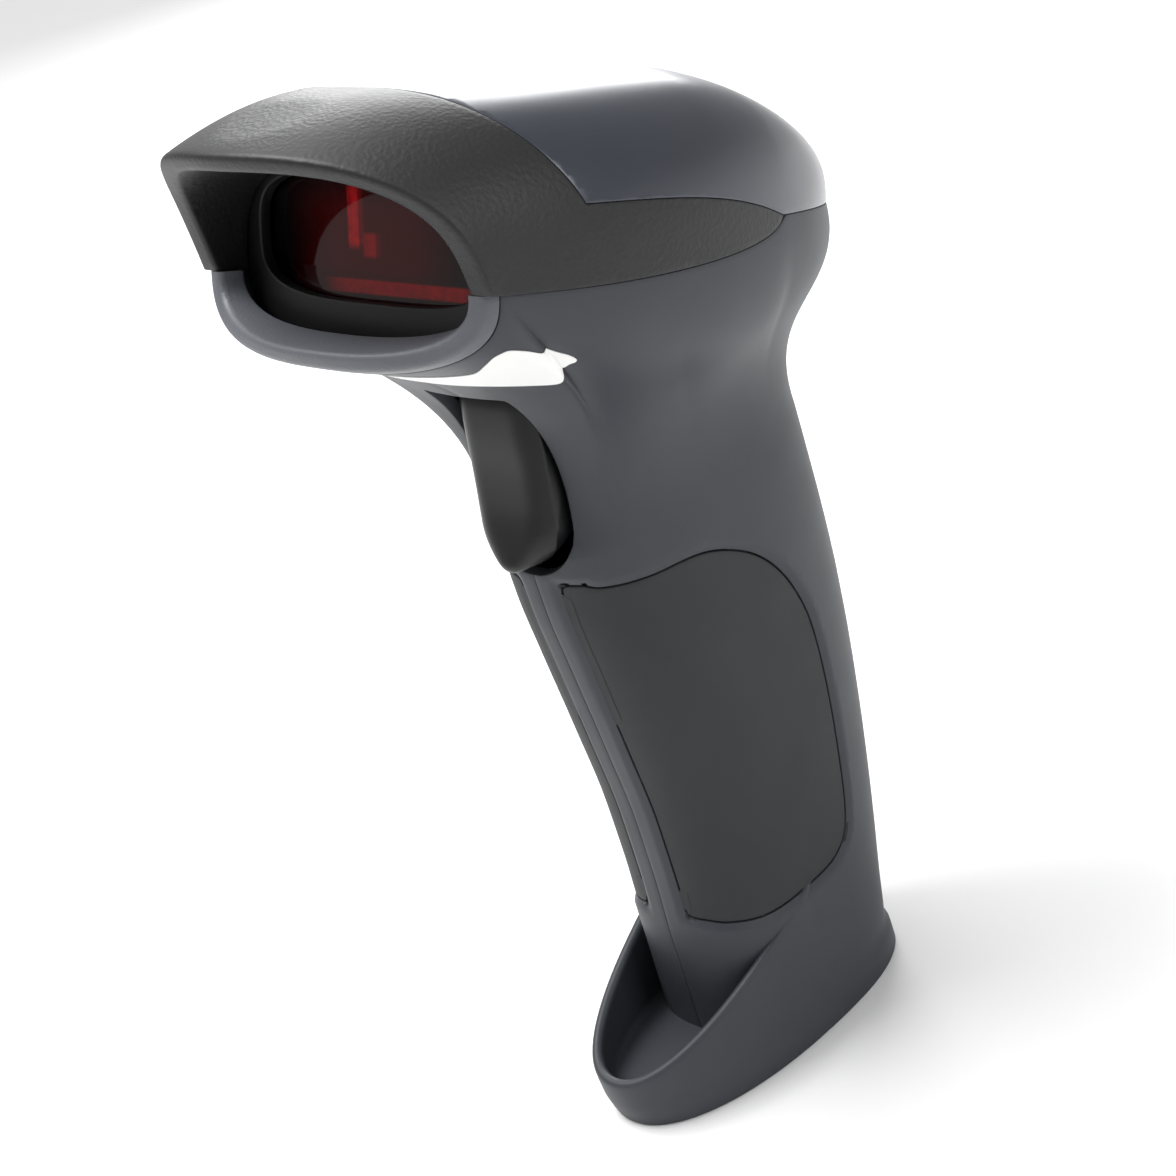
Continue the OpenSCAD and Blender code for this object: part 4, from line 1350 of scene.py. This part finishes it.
@dataclass(frozen=True)
class Sleeve(Finish):
    """Shrink sleeve printed with one plain band."""

    def tint(self, graph: Graph) -> Sock:
        """A pale band near the top of the cell."""
        height = graph.node("ShaderNodeSeparateXYZ", inputs={0: graph.place()}, out=2)
        band = (height > 70 * MM) * (height < 74 * MM)
        return graph.blend(band, self.colour, (0.6, 0.62, 0.64))


@dataclass(frozen=True)
class FlatWire(Finish):
    """Flat cable of parallel wires."""

    def tint(self, graph: Graph) -> Sock:
        """Wires lighter than the gaps between them."""
        across = graph.node("ShaderNodeSeparateXYZ", inputs={0: graph.place()}, out=0)
        ridge = graph.node("ShaderNodeMath", {"operation": "SINE"}, {0: across * (FULL_TURN / MM)})
        return graph.blend(ridge * 0.5 + 0.5, tuple(c * 0.45 for c in self.colour), self.colour)


# ---------------------------------------------------------------- studio


@dataclass
class Studio:
    """The plain pale surroundings, the lights and the camera, in metres."""

    azimuth: float = math.radians(53.12)
    elevation: float = math.radians(26.5)
    roll: float = math.radians(-18.47)
    distance: float = 0.3549
    aim: Place = (0.0, -0.00377, 0.08413)
    lens: float = 73.57
    floor_size: float = 60.0

    def camera(self) -> None:
        """Sets the camera."""
        a, e, r = self.azimuth, self.elevation, self.roll
        ahead = Vector((-math.sin(a) * math.cos(e), math.cos(a) * math.cos(e), -math.sin(e)))
        level = Vector((math.cos(a), math.sin(a), 0))
        above = level.cross(ahead)
        right = level * math.cos(r) + above * math.sin(r)
        up = above * math.cos(r) - level * math.sin(r)
        data = bpy.data.cameras.new("camera")
        data.sensor_width, data.lens, data.clip_start, data.clip_end = 36.0, self.lens, 0.01, 50.0
        camera = bpy.data.objects.new("camera", data)
        turn = Matrix((right, up, -ahead)).transposed().to_4x4()
        camera.matrix_world = Matrix.Translation(Vector(self.aim) - ahead * self.distance) @ turn
        bpy.context.scene.collection.objects.link(camera)
        bpy.context.scene.camera = camera

    def light(self, name: str, place: Place, size: float, power: float, at: Place = (0, 0, 0.1)) -> None:
        """Hangs a soft square light.

        Args:
            name: The light's name.
            place: Where it hangs.
            size: The length of its side.
            power: Its power in watts.
            at: What it points at.
        """
        data = bpy.data.lights.new(name, "AREA")
        data.shape, data.size, data.energy = "SQUARE", size, power
        lamp = bpy.data.objects.new(name, data)
        lamp.location = place
        lamp.rotation_euler = (Vector(at) - Vector(place)).to_track_quat("-Z", "Y").to_euler()
        bpy.context.scene.collection.objects.link(lamp)

    def sun(self, name: str, place: Place, spread: float, power: float) -> None:
        """Hangs a far-off light so wide that its shadows are soft.

        Args:
            name: The light's name.
            place: The way to it.
            spread: How wide it looks, in degrees.
            power: Its power in watts per square metre.
        """
        data = bpy.data.lights.new(name, "SUN")
        data.angle, data.energy = math.radians(spread), power
        lamp = bpy.data.objects.new(name, data)
        lamp.rotation_euler = (-Vector(place)).to_track_quat("-Z", "Y").to_euler()
        bpy.context.scene.collection.objects.link(lamp)

    def floor(self) -> None:
        """Lays the pale floor under the foot."""
        bm = bmesh.new()
        bmesh.ops.create_grid(bm, x_segments=1, y_segments=1, size=self.floor_size / 2)
        mesh = bpy.data.meshes.new("floor")
        bm.to_mesh(mesh)
        bm.free()
        floor = bpy.data.objects.new("floor", mesh)
        bpy.context.scene.collection.objects.link(floor)
        graph = Graph("pale_floor")
        mesh.materials.append(graph.surface(base_color=(0.86, 0.86, 0.86), roughness=0.7))

    def build(self) -> None:
        """Sets the whole studio."""
        scene = bpy.context.scene
        scene.view_settings.view_transform = "Standard"
        world = bpy.data.worlds.new("studio")
        world.use_nodes = True
        ground = world.node_tree.nodes["Background"]
        ground.inputs["Color"].default_value = (1, 1, 1, 1)
        ground.inputs["Strength"].default_value = 0.42
        scene.world = world
        self.floor()
        self.sun("high", (-0.35, -0.1, 1.0), 65.0, 1.5)
        self.light("overhead", (-0.16, -0.12, 0.62), 0.3, 3.2)
        self.light("side", (0.7, 0.1, 0.45), 0.3, 1.6)
        self.light("behind", (-0.55, 0.6, 0.4), 0.4, 4.5)
        self.camera()


# ---------------------------------------------------------------- the object

SHELL = Finish("shell", "slate_moulding", (0.033, 0.036, 0.044), 0.5, size=0.28, depth=0.012, specular=0.4)
GRIP = Finish("grip", "soft_grip", (0.02, 0.021, 0.024), 0.62, size=0.22, depth=0.014, specular=0.4)
HOOD = Finish(
    "hood", "grained_black", (0.011, 0.011, 0.012), 0.5, relief=Relief.LEATHER, size=0.6, depth=0.05,
    specular=0.45,
)
COVER = Finish(
    "cover", "satin_slate", (0.036, 0.041, 0.055), 0.34, metal=0.3, coat=0.35, coat_rough=0.22,
    depth=0.004, size=0.3,
)
LIP = Finish("lip", "grained_slate", (0.1, 0.106, 0.12), 0.45, relief=Relief.LEATHER, size=0.5, depth=0.04)
BLACK = Finish("trigger", "black_moulding", (0.004, 0.004, 0.0045), 0.34, size=0.3, depth=0.01, specular=0.35)
BEZEL = Finish("black", "black_matt", (0.006, 0.006, 0.007), 0.5, size=0.3, depth=0.01)
# The window pane is given painted red light over it
PANE = RedPane("window", "red_pane", (0.11, 0.003, 0.006), 0.03, painted_glow=0.24)
LENS = RedPane("lens", "red_lens", (0.12, 0.004, 0.008), 0.05)
PAPER = Finish("label", "white_paper", (0.86, 0.86, 0.84), 0.55, tone=0.015, size=0.12, depth=0.006)
BRIGHT = dict(metal=1.0, relief=Relief.BRUSHED, depth=0.004)
STEEL = Finish("steel", "plated_steel", (0.56, 0.56, 0.55), 0.32, **BRIGHT)
BRASS = Finish("brass", "turned_brass", (0.56, 0.4, 0.16), 0.3, **BRIGHT)
CONTACT = Finish("contact", "nickel_strip", (0.6, 0.57, 0.5), 0.28, **BRIGHT)
BOARD = BoardLacquer("board", "board_lacquer", (0.01, 0.09, 0.04), 0.36, coat=0.4)
CHIPS = Finish("chips", "chip_epoxy", (0.012, 0.012, 0.013), 0.45, size=0.15, depth=0.006)
IVORY = Finish("ivory", "ivory_nylon", (0.62, 0.56, 0.42), 0.5, depth=0.006)
# The scan mirror is given painted red light, though it is no lamp
MIRROR = Finish(
    "mirror", "scan_mirror_glass", (0.75, 0.76, 0.78), 0.08, metal=1.0, tone=0.02, depth=0.001, painted_glow=0.12
)
COPPER = Finish(
    "copper", "wound_copper", (0.62, 0.26, 0.12), 0.3, metal=1.0, relief=Relief.WOUND, size=0.2, depth=0.06
)
FOAM = Finish("foam", "foam_gasket", (0.02, 0.02, 0.02), 0.9, size=0.25, depth=0.08)
ALLOY = Finish("frame", "cast_alloy", (0.3, 0.31, 0.33), 0.5, metal=0.9, size=0.4, depth=0.03)
CELL = Sleeve("cell", "cell_sleeve", (0.02, 0.09, 0.3), 0.3, coat=0.5, size=2.0, depth=0.02)
RIBBON = FlatWire("ribbon", "flat_wire", (0.5, 0.22, 0.05), 0.45)

MOVING = {"switch_plunger": "plunger", "scan_mirror": "mirror"}
CARRIED: tuple[tuple[str, Finish, float], ...] = (
    ("window_gasket", FOAM, 0.1),
    ("base_plate", BEZEL, 0.3),
    ("base_screws", STEEL, 0.08),
    ("trigger_pin", STEEL, 0.2),
    ("switch_body", BEZEL, 0.15),
    ("switch_plunger", IVORY, 0.2),
    ("switch_board", BOARD, 0.1),
    ("engine_frame", ALLOY, 0.12),
    ("laser_barrel", BRASS, 0.15),
    ("laser_diode", STEEL, 0.06),
    ("scan_mirror", MIRROR, 0.05),
    ("mirror_pin", STEEL, 0.12),
    ("mirror_coil", COPPER, 0.15),
    ("collecting_lens", LENS, 0.0),
    ("detector_board", BOARD, 0.1),
    ("main_board", BOARD, 0.1),
    ("board_chips", CHIPS, 0.08),
    ("board_connectors", IVORY, 0.12),
    ("beeper", BEZEL, 0.3),
    ("battery_cell", CELL, 0.5),
    ("battery_holder", BEZEL, 0.25),
    ("battery_contacts", CONTACT, 0.1),
    ("harness", RIBBON, 0.0),
    ("port_board", BOARD, 0.1),
    ("data_jack", BEZEL, 0.2),
    ("case_screws", STEEL, 0.08),
    ("engine_screws", STEEL, 0.08),
    ("board_screws", STEEL, 0.08),
    ("trigger_spring", STEEL, 0.0),
)


def main() -> None:
    """Builds the scanner and its surroundings."""
    logging.basicConfig(level=logging.INFO, format="%(name)s: %(message)s")
    head = Head()
    handle = Handle(head)
    Studio().build()
    Body(head, handle, GripLine()).build(SHELL, GRIP)
    UpperCase(head).build(HOOD, COVER, LIP)
    WindowUnit(head).build(BEZEL, PANE)
    TriggerUnit().build(BLACK)
    Sticker(handle).build(PAPER)
    inside = Inside()
    for node, finish, bevel in CARRIED:
        inside.carry(node, finish, bevel)


if __name__ == "__main__":
    main()
